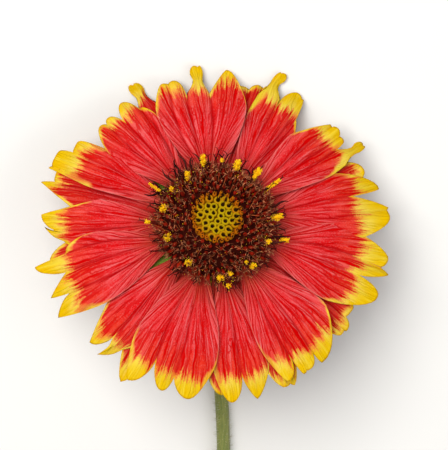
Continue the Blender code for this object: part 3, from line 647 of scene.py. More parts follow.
def hair_path(foot, direction, length, bend, rng, steps=4):
    """Points of a curved hair."""
    side, other = sides_of(direction)
    pull = (side * rng.uniform(-1, 1) + other * rng.uniform(-1, 1)) * bend
    shares = (k / steps for k in range(steps + 1))
    return [foot + direction * (length * t) + pull * (length * t * t) for t in shares]


def disc_buds():
    """Unopened florets: yellow-green cups, each with a dark tuft in its mouth."""
    rng = np.random.default_rng(5)
    cups, tufts = Heap(), Heap()
    limit = math.asin(BUD_DISC_RADIUS / DISC_RADIUS)
    rings = [(BUD_DISC_RADIUS, DISC_FLOOR + 2.9 * MM)]
    rings += [dome_point(limit * (1 - k / 9), -0.25 * MM) for k in range(9)]
    cups.add(ring_shape(ORIGIN, UP, rings, 40), tone=0.8)
    for k in range(BUD_COUNT):
        angle = dome_angle(BUD_AREA * (k + 0.45))
        turn = GOLDEN_ANGLE * k + rng.uniform(-0.12, 0.12)
        foot, axis = stand_on_dome(angle + rng.uniform(-0.02, 0.02), turn, 0.45)
        size = (0.74 + 0.13 * math.sqrt(k / BUD_COUNT)) * MM * rng.uniform(0.94, 1.04)
        rise = (1.05 - 0.2 * k / BUD_COUNT) * MM * rng.uniform(0.9, 1.1)
        outer = k / BUD_COUNT
        tone = 0.15 + 0.8 * outer**2 + rng.uniform(-0.08, 0.08)
        cups.add(ring_shape(foot, axis, scaled(BUD_WALL, size, rise), 14, turn), tone=tone)
        mouth = foot + axis * (rise * 0.42)
        outward = level_way(turn)
        plug = [(0.45 * size, -0.2 * MM), (0.45 * size, 0.0), (0.2 * size, 0.12 * MM)]
        tufts.add(ring_shape(mouth, axis, plug, 8, turn), tone=0.1)
        for j in range(5):
            lean = (axis + outward * (0.1 + 0.5 * outer) + scatter(rng, 0.22)).normalized()
            start = mouth + scatter(rng, 0.14) * MM
            path = hair_path(start, lean, (0.9 + 0.8 * outer) * MM * rng.uniform(0.7, 1.2), 0.15, rng, 3)
            tufts.add(tube(path, in_mm(0.17, 0.15, 0.09, 0.015), 5), tone=rng.uniform(0, 0.3))
    for ring, (reach, many) in enumerate(YOUNG_RINGS):
        for k in range(many):
            turn = 2 * math.pi * (k + 0.5 * ring + rng.uniform(-0.2, 0.2)) / many
            foot, axis = stand_on_dome(math.asin(reach / DISC_RADIUS), turn, 0.35 + 0.5 * ring)
            size, rise = 0.42 * MM * rng.uniform(0.85, 1.2), (1.0 + 0.35 * ring) * MM * rng.uniform(0.8, 1.25)
            cups.add(ring_shape(foot, axis, scaled(YOUNG_WALL, size, rise), 8, turn), tone=1.0)
            path = hair_path(foot + axis * (rise * 0.6), axis, rise * 0.9, 0.25, rng, 3)
            tufts.add(tube(path, in_mm(0.15, 0.13, 0.08, 0.015), 5), tone=rng.uniform(0, 0.5))
    green = tinted("bud_skin", (0.40, 0.29, 0.001), (0.40, 0.10, 0.001), 0.7, 1500.0, 0.3, 0.06 * MM)
    dark = tinted("bud_tuft", (0.015, 0.005, 0.002), (0.09, 0.02, 0.006), 0.7)
    made = cups.piece("bud_cups", green, "bud_green", HEAD)
    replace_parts(made, "disc_buds")
    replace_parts(tufts.piece("bud_tufts", dark, "floret_maroon", HEAD), "disc_buds")


def disc_florets():
    """Dark florets in a spiral, with lobed mouths, hairy tips and stiff bristles between them."""
    rng = np.random.default_rng(8)
    core = Heap()
    rings = [(DISC_RADIUS * 0.86, DISC_FLOOR + 0.02 * MM)]
    rings += [dome_point(math.radians(90 - 64 * k / 12)) for k in range(13)]
    rings += [(4.7 * MM, DISC_FLOOR + 4.4 * MM)]
    core.add(ring_shape(ORIGIN, UP, rings, 72), tone=0.15)
    florets, hairs, bristles = Heap(), Heap(), Heap()
    for k in range(FLORET_COUNT):
        angle = dome_angle(FLORETS_START + FLORET_AREA * k)
        share = k / FLORET_COUNT
        turn = GOLDEN_ANGLE * (k + BUD_COUNT - 1) + rng.uniform(-0.03, 0.03)
        foot, axis = stand_on_dome(angle, turn, 0.75 + 0.1 * share)
        axis = (axis + scatter(rng, 0.16)).normalized()
        length = (1.15 + 0.75 * min(share * 3, 1)) * MM * rng.uniform(0.8, 1.2)
        radius = 0.36 * MM * rng.uniform(0.8, 1.2)
        tone = 0.25 + 0.45 * rng.random() * (0.5 + share)
        if share < 0.1:
            tone += 0.35
        shape = ring_shape(foot, axis, scaled(FLORET_WALL, radius, length), 10, turn, 5, 0.35)
        florets.add(shape, tone=min(tone, 1))
        tip = foot + axis * length
        for j in range(5 + int(10 * min(share * 1.5, 1))):
            spread = scatter(rng, 1)
            lean = (axis * 0.75 + spread * 0.9).normalized()
            at = tip + spread * (radius * 0.75) - axis * (rng.random() * 0.3 * MM)
            size = rng.uniform(0.35, 0.85) * MM
            path = hair_path(at, lean, size, 0.7, rng, 3)
            thick = rng.uniform(0.03, 0.055) * MM
            tone = rng.uniform(0.7, 1.0) if rng.random() < 0.16 else rng.random() * 0.5
            hairs.add(tube(path, [thick, thick, thick * 0.8, thick * 0.3], 3), tone=tone)
        for j in range(2):
            lean = (axis + scatter(rng, 0.45)).normalized()
            at = foot + scatter(rng, 0.5) * MM
            path = hair_path(at, lean, rng.uniform(1.7, 2.5) * MM, 0.28, rng, 4)
            bristles.add(tube(path, in_mm(0.10, 0.09, 0.07, 0.045, 0.012), 4), tone=rng.random() ** 2)
    maroon = tinted("floret_skin", (0.06, 0.001, 0.000), (0.38, 0.016, 0.004), 0.8)
    fuzz = tinted("floret_hair", (0.020, 0.001, 0.000), (1.00, 0.36, 0.160), 0.8)
    straw = tinted("bristle_skin", (0.016, 0.001, 0.000), (0.60, 0.14, 0.040), 0.7)
    core_skin = tinted("disc_ground", (0.02, 0.002, 0.001), (0.10, 0.006, 0.002), 0.9)
    heaps = ((core, "disc_core", core_skin), (florets, "dark_florets", maroon),
             (hairs, "floret_hairs", fuzz), (bristles, "disc_bristles", straw))
    for heap, name, skin in heaps:
        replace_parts(heap.piece(name, skin, "floret_maroon", HEAD), "disc_florets")


# Open florets: where their pollen shows in the photograph (pixels), its height over the ray florets'
# roots in millimetres, its length and width in millimetres, and how far it leans out.

POLLEN = (
    (204, 161, 6.0, 2.1, 0.62, 0.5), (188, 176, 6.0, 1.7, 0.60, 0.5), (237, 165.5, 6.0, 2.2, 0.60, 0.5),
    (257, 173.5, 5.8, 2.3, 0.58, 0.6), (272.5, 185, 5.2, 3.2, 0.36, 0.9),
    (164.4, 208.6, 5.4, 1.8, 0.72, 0.3), (168.3, 237, 5.2, 1.5, 0.68, 0.3),
    (189.7, 262, 5.0, 1.3, 0.66, 0.1), (220.8, 277, 4.6, 1.6, 0.62, 0.3),
    (230.5, 272.8, 4.8, 1.3, 0.42, 0.3), (228.6, 284.8, 4.2, 1.1, 0.42, 0.3),
    (252.6, 265.5, 4.8, 1.6, 0.62, 0.3), (267.2, 241.4, 5.0, 1.5, 0.45, 0.5),
    (283.8, 239.4, 4.2, 1.8, 0.45, 0.9), (276.5, 217, 5.4, 2.3, 0.55, 0.8),
    (172.5, 189.3, 5.8, 1.2, 0.40, 0.5), (155.3, 188, 5.0, 2.6, 0.30, 0.9),
    (148.5, 221.8, 4.6, 1.0, 0.34, 0.8), (246, 261.5, 5.0, 0.9, 0.36, 0.3),
    (222, 160.5, 6.0, 0.8, 0.30, 0.5),
)
POLLEN_ROWS = (0, 0.12, 0.3, 0.5, 0.7, 0.88, 1)

# Long dark style arms: where each starts and ends in the photograph (pixels), and how far it bows (mm).

STYLE_ARMS = (
    (161, 190.5, 150, 184, 0.5), (174.5, 182, 162.5, 169.5, -0.6), (180.5, 178.5, 173.5, 166, 0.5),
    (178.5, 169, 175, 159.5, -0.5), (186.5, 169, 178, 155.5, 0.4), (191.5, 168, 192.5, 157, -0.4),
    (202, 166, 192.3, 153, 0.3), (197, 174, 204, 167, 0.5), (159, 192.5, 145, 194.5, -0.6),
    (162, 191, 170, 186.5, 0.4), (204, 168, 211, 165, -0.4), (266, 236, 290, 236.5, 0.2),
    (270, 242.5, 286, 241, 0.2), (275, 206, 288, 201.5, -0.3), (222, 164, 218, 154, 0.4),
    (250, 177, 242, 169.5, 0.5), (263, 193, 270, 187, -0.3), (268, 226, 281, 224, 0.3),
)


def view_axes():
    """The photograph's right, up and back directions in the head's frame."""
    sine = math.sin(VIEW_OFF)
    back = Vector((-sine * math.sin(VIEW_TURN), -sine * math.cos(VIEW_TURN), math.cos(VIEW_OFF)))
    right = Vector((0, 1, 0)).cross(back).normalized()
    return right, back.cross(right), back


def head_place(px, py, height):
    """The point of the head's frame, at a height, that the photograph shows at a pixel."""
    right, up, back = view_axes()
    u = (px - PHOTO_CENTRE[0]) / PIXELS_PER_MM * MM
    v = (PHOTO_CENTRE[1] - py) / PIXELS_PER_MM * MM
    u, v = u - right.z * height, v - up.z * height
    whole = right.x * up.y - right.y * up.x
    return Vector(((u * up.y - v * right.y) / whole, (v * right.x - u * up.x) / whole, height))


def open_florets():
    """Open florets round the disc: dark tubes, anthers covered with pollen, and forked styles."""
    rng = np.random.default_rng(12)
    tubes, pollen, styles = Heap(), Heap(), Heap()

    def style(foot, direction, length):
        """A thin dark style whose two arms curl apart."""
        stalk = hair_path(foot, direction, length * 0.55, 0.2, rng, 3)
        thick = rng.uniform(0.09, 0.13) * MM
        tone = rng.random() ** 2
        styles.add(tube(stalk, [thick] * 4, 5), tone=tone)
        side = sides_of(direction)[0] if rng.random() < 0.5 else direction.cross(UP).normalized()
        for sign in (1, -1):
            spread = side * (sign * rng.uniform(0.5, 1.1))
            arm = []
            for j in range(7):
                t = j / 6
                onward = direction * (length * 0.5 * (t - 0.45 * t**3))
                arm.append(stalk[-1] + onward + spread * (length * 0.45 * t**1.6))
            styles.add(tube(arm, [thick * (1 - 0.75 * j / 6) for j in range(7)], 4), tone=tone)

    for px, py, height, length, width, lean in POLLEN:
        middle = head_place(px, py, (height + 0.6) * MM)
        outwards = Vector((middle.x, middle.y, 0)).normalized()
        turn = math.atan2(middle.y, middle.x)
        reach = min(middle.to_2d().length - 1.9 * MM, DISC_RADIUS * 0.97)
        foot, square = stand_on_dome(math.asin(reach / DISC_RADIUS), turn, 0.8)
        axis = (outwards * lean + UP * (1 - lean * 0.6)).normalized()
        length, width = length * MM, width * MM
        low = middle - axis * (length / 2)
        shares = (0, 0.3, 0.6, 0.85, 1)
        path = [foot.lerp(low, t) + square * (math.sin(math.pi * t) * 0.3 * MM) for t in shares]
        tubes.add(tube(path, in_mm(0.34, 0.30, 0.33, 0.3, 0.24), 8), tone=0.3)
        bow = scatter(rng, 0.35) * width
        column = [middle + axis * (length * (t - 0.5)) + bow * math.sin(3 * math.pi * t) for t in POLLEN_ROWS]
        radii = [width * f * rng.uniform(0.6, 1.1) for f in (0.4, 0.65, 0.75, 0.8, 0.75, 0.6, 0.35)]
        pollen.add(tube(column, radii, 7), tone=0.3)
        side, other = sides_of(axis)
        clumps = rng.uniform(0, 2 * math.pi, 7)
        for j in range(int(75 * length / MM * (0.4 + width / MM))):
            t = rng.random()
            a = clumps[j % 7] + rng.normal() * 0.5
            edge = width * (0.55 + 0.75 * rng.random() ** 1.5) * (1 - abs(t - 0.5) * 0.5)
            out = (side * math.cos(a) + other * math.sin(a)) * edge
            at = middle + axis * (length * (t - 0.5) * 1.15) + out
            grain_at(pollen, at, rng.uniform(0.07, 0.17) * MM, rng)
        for j in range(9):
            at = low + scatter(rng, 1.1) * MM
            grain_at(pollen, at, rng.uniform(0.06, 0.12) * MM, rng)
        if rng.random() < 0.7:
            tip = middle + axis * (length / 2)
            way = (axis + outwards * 0.3 + scatter(rng, 0.3)).normalized()
            style(tip - axis * 0.2 * MM, way, rng.uniform(1.0, 2.0) * MM)
    for x0, y0, x1, y1, bow in STYLE_ARMS:
        start, end = head_place(x0, y0, 4.7 * MM), head_place(x1, y1, 5.0 * MM)
        bend = (end - start).cross(UP).normalized() * (bow * MM) + UP * (0.5 * MM)
        path = [start - (end - start) * 0.35 - UP * 1.3 * MM]
        path += [start.lerp(end, t) + bend * math.sin(math.pi * t) for t in (0, 0.25, 0.5, 0.75, 1)]
        styles.add(tube(path, [r * MM for r in (0.19, 0.22, 0.21, 0.18, 0.14, 0.05)], 6), tone=rng.random())
    for k in range(TUBE_COUNT):
        turn = GOLDEN_ANGLE * k + rng.uniform(-0.1, 0.1)
        foot, axis = stand_on_dome(math.radians(rng.uniform(62, 86)), turn, 0.7)
        axis = (axis + scatter(rng, 0.3)).normalized()
        outwards = level_way(turn)
        length = rng.uniform(1.8, 2.7) * MM
        path = hair_path(foot, axis, length, 0.2, rng, 4)
        tubes.add(tube(path, in_mm(0.3, 0.27, 0.3, 0.33, 0.2), 7), tone=rng.random() * 0.7)
        top_side = 0.5 + 0.5 * math.sin(turn)
        way = (axis + outwards * 0.6 + scatter(rng, 0.4)).normalized()
        style(path[-1], way, rng.uniform(1.2, 1.7 + 2.4 * top_side) * MM)
    for k in range(LOOSE_GRAINS):
        turn, angle = rng.uniform(0, 2 * math.pi), math.radians(rng.uniform(30, 88))
        foot, axis = stand_on_dome(angle, turn, 0.8)
        grain_at(pollen, foot + axis * rng.uniform(1.2, 2.1) * MM, rng.uniform(0.05, 0.11) * MM, rng)
    tube_skin = tinted("open_floret_skin", (0.04, 0.003, 0.002), (0.20, 0.014, 0.006), 0.7)
    grains = tinted("pollen", (0.86, 0.36, 0.001), (1.00, 0.72, 0.012), 0.9, 2600.0, 0.4, 0.08 * MM)
    style_skin = tinted("style_skin", (0.008, 0.001, 0.001), (0.08, 0.014, 0.010), 0.6)
    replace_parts(tubes.piece("open_floret_tubes", tube_skin, "floret_maroon", HEAD), "disc_florets")
    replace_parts(pollen.piece("pollen", grains, "pollen_yellow", HEAD), "disc_florets")
    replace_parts(styles.piece("styles", style_skin, "floret_maroon", HEAD), "disc_florets")


def grain_at(heap, centre, radius, rng):
    """A grain of pollen: a small eight-sided body."""
    axis = scatter(rng, 1).normalized()
    side, other = sides_of(axis)
    verts = [centre + d * radius for d in (axis, side, other, -side, -other, -axis)]
    faces = [(0, 1, 2), (0, 2, 3), (0, 3, 4), (0, 4, 1), (5, 2, 1), (5, 3, 2), (5, 4, 3), (5, 1, 4)]
    heap.add((verts, faces), tone=rng.random())


disc_buds()
disc_florets()
open_florets()


# Green parts

def hair_heap(heap, points, directions, rng, length, thick, bend=0.35):
    """Short tapered hairs that stand on points."""
    for point, direction in zip(points, directions):
        size = length * rng.uniform(0.6, 1.3)
        path = hair_path(Vector(point), Vector(direction).normalized(), size, bend, rng, 2)
        heap.add(tube(path, [thick, thick * 0.7, thick * 0.15], 3), tone=rng.random())


def green_material(name, low, high, streak, streak_colour, red_part=0.0):
    """Plant skin: green between two colours, with streaks along it and pale veins where vein is near 1."""
    n = Nodes(name)
    along, across = n.number("along_mm"), n.number("across_mm")
    vein, blush = n.number("vein"), n.number("blush")
    fine = n.noise(n.join(n.times(along, 0.35), n.times(across, 2.2)), 1.0, 3.0, 0.6)
    cells = n.noise(n.join(along, across), 6.0, 2.0, 0.5)
    colour = n.mix(n.ramp(fine, 0.3, 0.7), low, high)
    colour = n.mix(n.ramp(cells, 0.45, 0.7, 0.25), colour, streak_colour)
    colour = n.mix(n.times(vein, streak), colour, streak_colour)
    colour = n.mix(n.times(n.times(blush, n.ramp(fine, 0.25, 0.6)), red_part), colour, (0.20, 0.055, 0.025))
    n.set("Base Color", colour)
    n.set("Roughness", n.add(0.55, n.times(cells, 0.25)))
    n.set("Specular IOR Level", 0.25)
    n.set("Sheen Weight", 0.15)
    n.set("Sheen Roughness", 0.5)
    n.bump(n.add(n.times(fine, 0.6), n.times(cells, 0.4)), 0.15 * MM, 0.8)
    return n.material


def sheet_piece(name, middle, thickness, material, attributes, low=None):
    """A thin closed sheet about a grid of points, kept above low if that is given."""
    rows, columns = middle.shape[:2]
    along = np.gradient(middle, axis=0)
    across = np.gradient(middle, axis=1)
    normal = np.cross(along, across)
    normal /= np.linalg.norm(normal, axis=-1, keepdims=True) + 1e-12
    sides = []
    for sign in (1, -1):
        p = middle + normal * (sign * thickness / 2)
        if low is not None:
            p[..., 2] = smooth_max(p[..., 2], low + (thickness if sign > 0 else 0.0), PRESSED_BLEND)
        sides.append(p.reshape(-1, 3))
    piece = mesh_object(name, np.concatenate(sides), sheet_faces(rows, columns), material)
    bm = bmesh.new()
    bm.from_mesh(piece.data)
    bmesh.ops.recalc_face_normals(bm, faces=bm.faces)
    bm.to_mesh(piece.data)
    bm.free()
    grids = {key: np.broadcast_to(values, (rows, columns)) for key, values in attributes.items()}
    add_attributes(piece, **{key: twice(grid) for key, grid in grids.items()})
    return piece, sides[0].reshape(rows, columns, 3), normal


def away_from_midrib(middle, row, column):
    """The direction from a sheet's midrib to one of its points, along a row."""
    way = middle[row, column] - middle[row, middle.shape[1] // 2]
    return way / (np.linalg.norm(way) + 1e-9)


def stem_sway(y):
    """How far the stem's centre line is off to the side."""
    behind = max(-y, 0.0) / STEM_LENGTH
    return STEM_SWAY * (math.sin(math.pi * 1.4 * behind) - 0.4 * behind)


def stem_line():
    """Centre line of the stem as in the model, more finely sampled: (point, radius)."""
    axis = HEAD.to_3x3() @ UP
    top = HEAD_CENTRE + axis * STEM_TOP
    neck = top - axis * 3.2 * MM
    line = [(top, STEM_FLARE), (top - axis * 0.6 * MM, STEM_FLARE * 0.97)]
    line += [(top - axis * 1.3 * MM, STEM_FLARE * 0.84)]
    line += [(top - axis * 2.1 * MM, STEM_NECK * 1.25), (neck, STEM_NECK)]
    flat = math.cos(math.pi / STEM_SIDES)
    landing = Vector((stem_sway(STEM_LANDING), STEM_LANDING, STEM_NECK * flat))
    pull = (neck - axis * STEM_BEND_PULL, landing + Vector((0, STEM_BEND_PULL, 0)))
    for k in range(1, 28):
        t = k / 28
        a, b, c, d = (1 - t) ** 3, 3 * t * (1 - t) ** 2, 3 * t * t * (1 - t), t**3
        line.append((neck * a + pull[0] * b + pull[1] * c + landing * d, STEM_NECK))
    for k in range(91):
        share = k / 90
        y = STEM_LANDING - (STEM_LENGTH + STEM_LANDING) * share
        radius = STEM_NECK + (STEM_FOOT - STEM_NECK) * share
        line.append((Vector((stem_sway(y), y, radius * flat)), radius))
    return line


def stem():
    """The stem: ribbed, hairy, tinged red-brown towards the head, with a pale cut end."""
    rng = np.random.default_rng(21)
    line = stem_line()
    sides = 24
    rings, along_mm, across_mm, blush, run = [], [], [], [], 0.0
    for k, (centre, radius) in enumerate(line):
        along = (line[min(k + 1, len(line) - 1)][0] - line[max(k - 1, 0)][0]).normalized()
        side = (Vector((1, 0, 0)) - along * along.x).normalized()
        up = side.cross(along)
        run += (centre - line[max(k - 1, 0)][0]).length
        for n in range(sides):
            a = 2 * math.pi * n / sides
            rib = 1 + 0.035 * math.cos(8 * a + 0.4 * math.sin(run / (9 * MM))) - 0.035
            rib += 0.03 * math.sin(run / (5 * MM) + 2 * a)
            p = centre + (side * math.cos(a) + up * math.sin(a)) * (radius * 0.97 * rib)
            p.z = max(p.z, 0.0)
            rings.append(p)
            along_mm.append(run / MM)
            across_mm.append(radius * a / MM)
            blush.append(max(0.35, 1 - run / (55 * MM)) * (0.75 + 0.25 * math.sin(a)))
    verts = rings + [line[0][0], line[-1][0]]
    skin = green_material("stem_skin", (0.13, 0.17, 0.035), (0.24, 0.29, 0.07), 0.3, (0.34, 0.38, 0.14), 0.85)
    piece = mesh_object("stem_skin", verts, tube_faces(len(line), sides), skin)
    add_attributes(piece, along_mm=along_mm + [0, run / MM], across_mm=across_mm + [0, 0],
                   blush=blush + [1, 0], vein=[0.0] * len(verts))
    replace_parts(piece, "stem")
    hairs = Heap()
    points, ways = [], []
    for k in range(STEM_HAIRS):
        at = rng.uniform(3, len(line) - 2)
        low = int(at)
        centre = line[low][0].lerp(line[low + 1][0], at - low)
        along = (line[low + 1][0] - line[low][0]).normalized()
        side = (Vector((1, 0, 0)) - along * along.x).normalized()
        a = rng.uniform(0, 2 * math.pi)
        out = side * math.cos(a) + side.cross(along) * math.sin(a)
        point = centre + out * (line[low][1] * 0.93)
        if point.z + out.z * 1.1 * MM > 0.05 * MM:
            points.append(point)
            ways.append(out - along * 0.25)
    hair_heap(hairs, points, ways, rng, 0.85 * MM, 0.035 * MM)
    pale = tinted("plant_hair", (0.42, 0.42, 0.27), (0.72, 0.70, 0.55), 0.5)
    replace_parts(hairs.piece("stem_hairs", pale, "stem_green"), "stem")
    centre, radius = line[-1]
    cut = Heap()
    rings = scaled(((0.93, -0.15), (0.95, 0.02), (0.86, 0.05), (0.7, 0.0), (0.3, 0.03)), radius, MM)
    tones = [tone for tone in (0.0, 0.1, 0.45, 0.8, 1.0) for _ in range(sides)] + [0.0, 1.0]
    cut.add(ring_shape(centre, Vector((0, -1, 0)), rings, sides), tone=tones)
    pith = tinted("stem_pith", (0.30, 0.36, 0.12), (0.74, 0.76, 0.56), 0.6, 2500.0, 0.2)
    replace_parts(cut.piece("cut_face", pith, "stem_green"), "stem")
    return pale


def bract_middle(azimuth, inner, rows, columns):
    """The middle surface of one bract, as in the model, with a keel."""
    share = np.linspace(0, 1, rows)[:, None]
    side = np.linspace(-1, 1, columns)[None, :]
    length = BRACT_LENGTH[inner]
    out = length * share
    width = BRACT_HALF_WIDTH * (0.8 + 0.9 * share) * (1 - share) ** 0.75 + 0.1 * MM
    across = side * width
    drop = 0.9 * MM if inner else 2.1 * MM
    height = CUP_TOP - drop - 0.02 * out - 9.0 * out * out - 0.25 * np.abs(across)
    height = height + 0.12 * MM * np.cos(across / (0.35 * MM)) * (1 - share)
    x, y = BRACT_ROOT + out + across * 0, across
    c, s = math.cos(azimuth), math.sin(azimuth)
    local = np.stack([x * c - y * s, x * s + y * c, height], -1)
    lift = np.array(HEAD)
    return local @ lift[:3, :3].T + lift[:3, 3], out / MM + across * 0, across / MM, np.abs(side) + share * 0


def involucre(pale):
    """The green cup and its two rows of hairy bracts."""
    rng = np.random.default_rng(31)
    # Painted light: the cup's and bracts' green is much brighter than the leaves', to make up for the shade
    # they sit in under the head.
    skin = green_material("bract_skin", (0.16, 0.42, 0.010), (0.32, 0.68, 0.04), 0.4, (0.44, 0.70, 0.12), 0.1)
    profile = [(r * MM, CUP_BOTTOM + h * MM) for r, h in ((3.2, 0), (4.6, 0.35), (6.2, 1.15), (7.3, 2.2))]
    verts, faces = ring_shape(ORIGIN, UP, [*profile, (7.85 * MM, CUP_TOP)], 48)
    cup = mesh_object("cup", verts, faces, skin, HEAD)
    add_attributes(cup, along_mm=[v[2] / MM for v in verts], vein=[0.2] * len(verts),
                   across_mm=[math.atan2(v[1], v[0]) * 6 for v in verts], blush=[0.2] * len(verts))
    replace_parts(cup, "involucre")
    hairs = Heap()
    for k in range(BRACT_COUNT):
        azimuth = 2 * math.pi * (k + 0.78) / BRACT_COUNT
        middle, out, across, edge = bract_middle(azimuth, k % 2, BRACT_ROWS, BRACT_COLUMNS)
        vein = np.exp(-((across / 0.22) ** 2))
        numbers = {"along_mm": out + k * 31, "across_mm": across, "vein": vein, "blush": out / 14}
        piece, _, normal = sheet_piece(f"bract_{k:02d}", middle, BRACT_THICKNESS, skin,
                                       numbers)
        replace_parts(piece, "involucre")
        points, ways = [], []
        for j in range(BRACT_HAIRS):
            r, c = int(rng.integers(1, BRACT_ROWS - 1)), int(rng.integers(0, BRACT_COLUMNS))
            if rng.random() < 0.5:
                c = 0 if rng.random() < 0.5 else BRACT_COLUMNS - 1
            sign = 1 if rng.random() < 0.3 else -1
            edgeward = away_from_midrib(middle, r, c)
            points.append(middle[r, c] + normal[r, c] * sign * 0.1 * MM)
            ways.append(normal[r, c] * sign + edgeward * 1.2 + rng.uniform(-0.4, 0.4, 3))
        hair_heap(hairs, points, ways, rng, 0.8 * MM, 0.032 * MM)
    points, ways = [], []
    for k in range(CUP_HAIRS):
        a, level = rng.uniform(0, 2 * math.pi), rng.random()
        radius, height = 4.2 * MM + 3.4 * MM * level, CUP_BOTTOM + 0.25 * MM + 2.2 * MM * level**1.6
        out = level_way(a)
        points.append(HEAD @ (out * radius + Vector((0, 0, height))))
        ways.append(HEAD.to_3x3() @ (out + Vector((0, 0, -1.2))))
    hair_heap(hairs, points, ways, rng, 0.8 * MM, 0.032 * MM)
    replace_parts(hairs.piece("bract_hairs", pale, "bract_green"), "involucre")


def leaf_width(share, half_width):
    width = half_width * (0.28 + 1.5 * share) * (1 - share**3) ** 0.8 / 1.1 + 0.15 * MM
    start = 0.22
    for tooth in LEAF_TEETH:
        rise = np.clip((share - start) / (tooth - start), 0, 1) ** 1.8
        fall = np.clip((share - tooth) / TOOTH_FALL, 0, 1)
        width = width + LEAF_TOOTH * rise * (1 - fall) * (share >= start)
        start = tooth + TOOTH_FALL
    return width


def leaf(name, behind, side, angle, length, half_width, arch_height, skin, pale):
    """One leaf: toothed, with a grooved midrib, side veins, a wavy margin and short hairs."""
    rng = np.random.default_rng(int(behind / MM))
    teeth = {*LEAF_TEETH, *(tooth + TOOTH_FALL for tooth in LEAF_TEETH)}
    shares = sorted(set(np.linspace(0, 1, LEAF_ROWS).round(4)) | teeth)
    share = np.array(shares)[:, None]
    u = np.linspace(-1, 1, LEAF_COLUMNS)[None, :]
    width = leaf_width(share, half_width)
    offset = u * width
    run = share * length + 0 * u
    height = arch_height * np.sin(math.pi * np.minimum(run / length, 1)) - 2.1 * MM * run / length
    height = height + 0.3 * np.abs(offset)
    height = height + 0.5 * MM * np.sin(run / (4.5 * MM)) * np.abs(offset) / half_width
    height = height + 0.25 * MM * np.sin(run / (2.3 * MM) + side) * (np.abs(u) ** 3)
    rib = np.exp(-((offset / (0.45 * MM)) ** 2))
    slant = (run - 1.1 * np.abs(offset)) / (length / 8.5)
    branch = np.exp(-(((slant - np.round(slant)) / 0.11) ** 2)) * (1 - rib) * np.clip(1.15 - np.abs(u), 0, 1)
    cross = np.exp(-(((slant * 3 - np.round(slant * 3)) / 0.2) ** 2)) * 0.35 * (1 - rib)
    height = height - 0.32 * MM * rib - 0.16 * MM * branch - 0.05 * MM * cross
    root = np.array([stem_sway(-behind) + side * (STEM_FOOT + 0.75 * MM), -behind, 2.4 * MM])
    along = np.array([side * math.sin(angle), math.cos(angle), 0.0])
    across = np.array([-along[1], along[0], 0.0]) * side
    middle = root + along * run[..., None] + across * offset[..., None] + np.array(UP) * height[..., None]
    numbers = {"along_mm": run / MM + behind / MM * 7, "across_mm": offset / MM,
               "vein": np.maximum(rib, branch * 0.75), "blush": np.abs(u) ** 6}
    piece, top, normal = sheet_piece(name + "_blade", middle, LEAF_THICKNESS, skin,
                                     numbers, 0.0)
    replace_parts(piece, name)
    hairs = Heap()
    points, ways = [], []
    edges = (0, LEAF_COLUMNS - 1)
    for k in range(LEAF_HAIRS):
        r, c = int(rng.integers(1, len(shares) - 1)), int(rng.integers(0, LEAF_COLUMNS))
        if rng.random() < 0.45:
            c = edges[0] if rng.random() < 0.5 else edges[1]
        edgeward = away_from_midrib(middle, r, c)
        up = normal[r, c] * (1 if normal[r, c][2] > 0 else -1)
        points.append(top[r, c] - up * 0.05 * MM)
        ways.append(up + edgeward * (0.9 if c in edges else 0.2) + rng.uniform(-0.3, 0.3, 3))
    keep = [k for k, (p, w) in enumerate(zip(points, ways)) if p[2] + w[2] * 0.4 * MM > 0.05 * MM]
    hair_heap(hairs, [points[k] for k in keep], [ways[k] for k in keep], rng, 0.5 * MM, 0.028 * MM)
    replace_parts(hairs.piece(name + "_hairs", pale, "leaf_green"), name)


pale_hair = stem()
involucre(pale_hair)
leaf_skin = green_material("leaf_skin", (0.085, 0.145, 0.035), (0.17, 0.26, 0.065), 0.55,
                           (0.34, 0.42, 0.18), 0.3)
for leaf_name, leaf_sizes in LEAVES.items():
    leaf(leaf_name, *leaf_sizes, leaf_skin, pale_hair)


# Stage

FLOOR_REACH, FLOOR_HEIGHT = 1.5, -0.0001
CAMERA_DISTANCE = 0.45


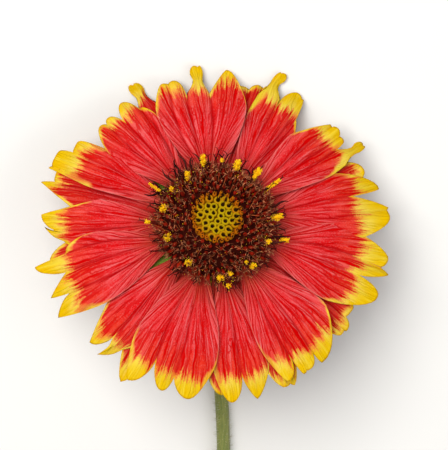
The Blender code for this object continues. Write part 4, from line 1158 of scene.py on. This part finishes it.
def floor_material():
    n = Nodes("floor_paint")
    n.set("Base Color", (0.80, 0.79, 0.76))
    n.set("Roughness", 0.9)
    return n.material


def lamp(name, location, size, power, colour=(1, 1, 1)):
    data = bpy.data.lights.new(name, "AREA")
    data.energy, data.size, data.color = power, size, colour
    made = link_object(name, data)
    made.location = location
    made.rotation_mode = "QUATERNION"
    made.rotation_quaternion = (HEAD_CENTRE - Vector(location)).to_track_quat("-Z", "Y")


def stage():
    mesh = bpy.data.meshes.new("floor")
    square = ((-1, -1), (1, -1), (1, 1), (-1, 1))
    corners = [(x * FLOOR_REACH, y * FLOOR_REACH, FLOOR_HEIGHT) for x, y in square]
    mesh.from_pydata(corners, [], [(0, 1, 2, 3)])
    mesh.materials.append(floor_material())
    floor = link_object("floor", mesh)
    lamp("key", (-0.25, 0.30, 0.60), 0.45, 5.2, (1.0, 0.98, 0.95))
    lamp("fill", (0.5, -0.2, 0.45), 0.6, 1.6)
    world = bpy.data.worlds.new("soft_light")
    world.use_nodes = True
    world.node_tree.nodes["Background"].inputs["Color"].default_value = (0.93, 0.95, 1.0, 1.0)
    world.node_tree.nodes["Background"].inputs["Strength"].default_value = 0.40
    bpy.context.scene.world = world
    bpy.context.scene.view_settings.view_transform = "Standard"


def camera():
    """Looks along the flower's axis, 15 degrees off it, from the upper side of the photograph."""
    right, up, back = (HEAD.to_3x3() @ axis for axis in view_axes())
    across = (PHOTO_SIZE[0] / 2 - PHOTO_CENTRE[0]) * MM / PIXELS_PER_MM
    centre = HEAD_CENTRE + right * across + up * ((PHOTO_CENTRE[1] - PHOTO_SIZE[1] / 2) * MM / PIXELS_PER_MM)
    data = bpy.data.cameras.new("camera")
    data.sensor_width = 36
    data.lens = data.sensor_width * CAMERA_DISTANCE / (PHOTO_SIZE[1] / PIXELS_PER_MM * MM)
    data.clip_start, data.clip_end = 0.01, 10
    made = link_object("camera", data)
    turn_matrix = Matrix((right, up, back)).transposed().to_4x4()
    made.matrix_world = Matrix.Translation(centre + back * CAMERA_DISTANCE) @ turn_matrix
    bpy.context.scene.camera = made


stage()
camera()
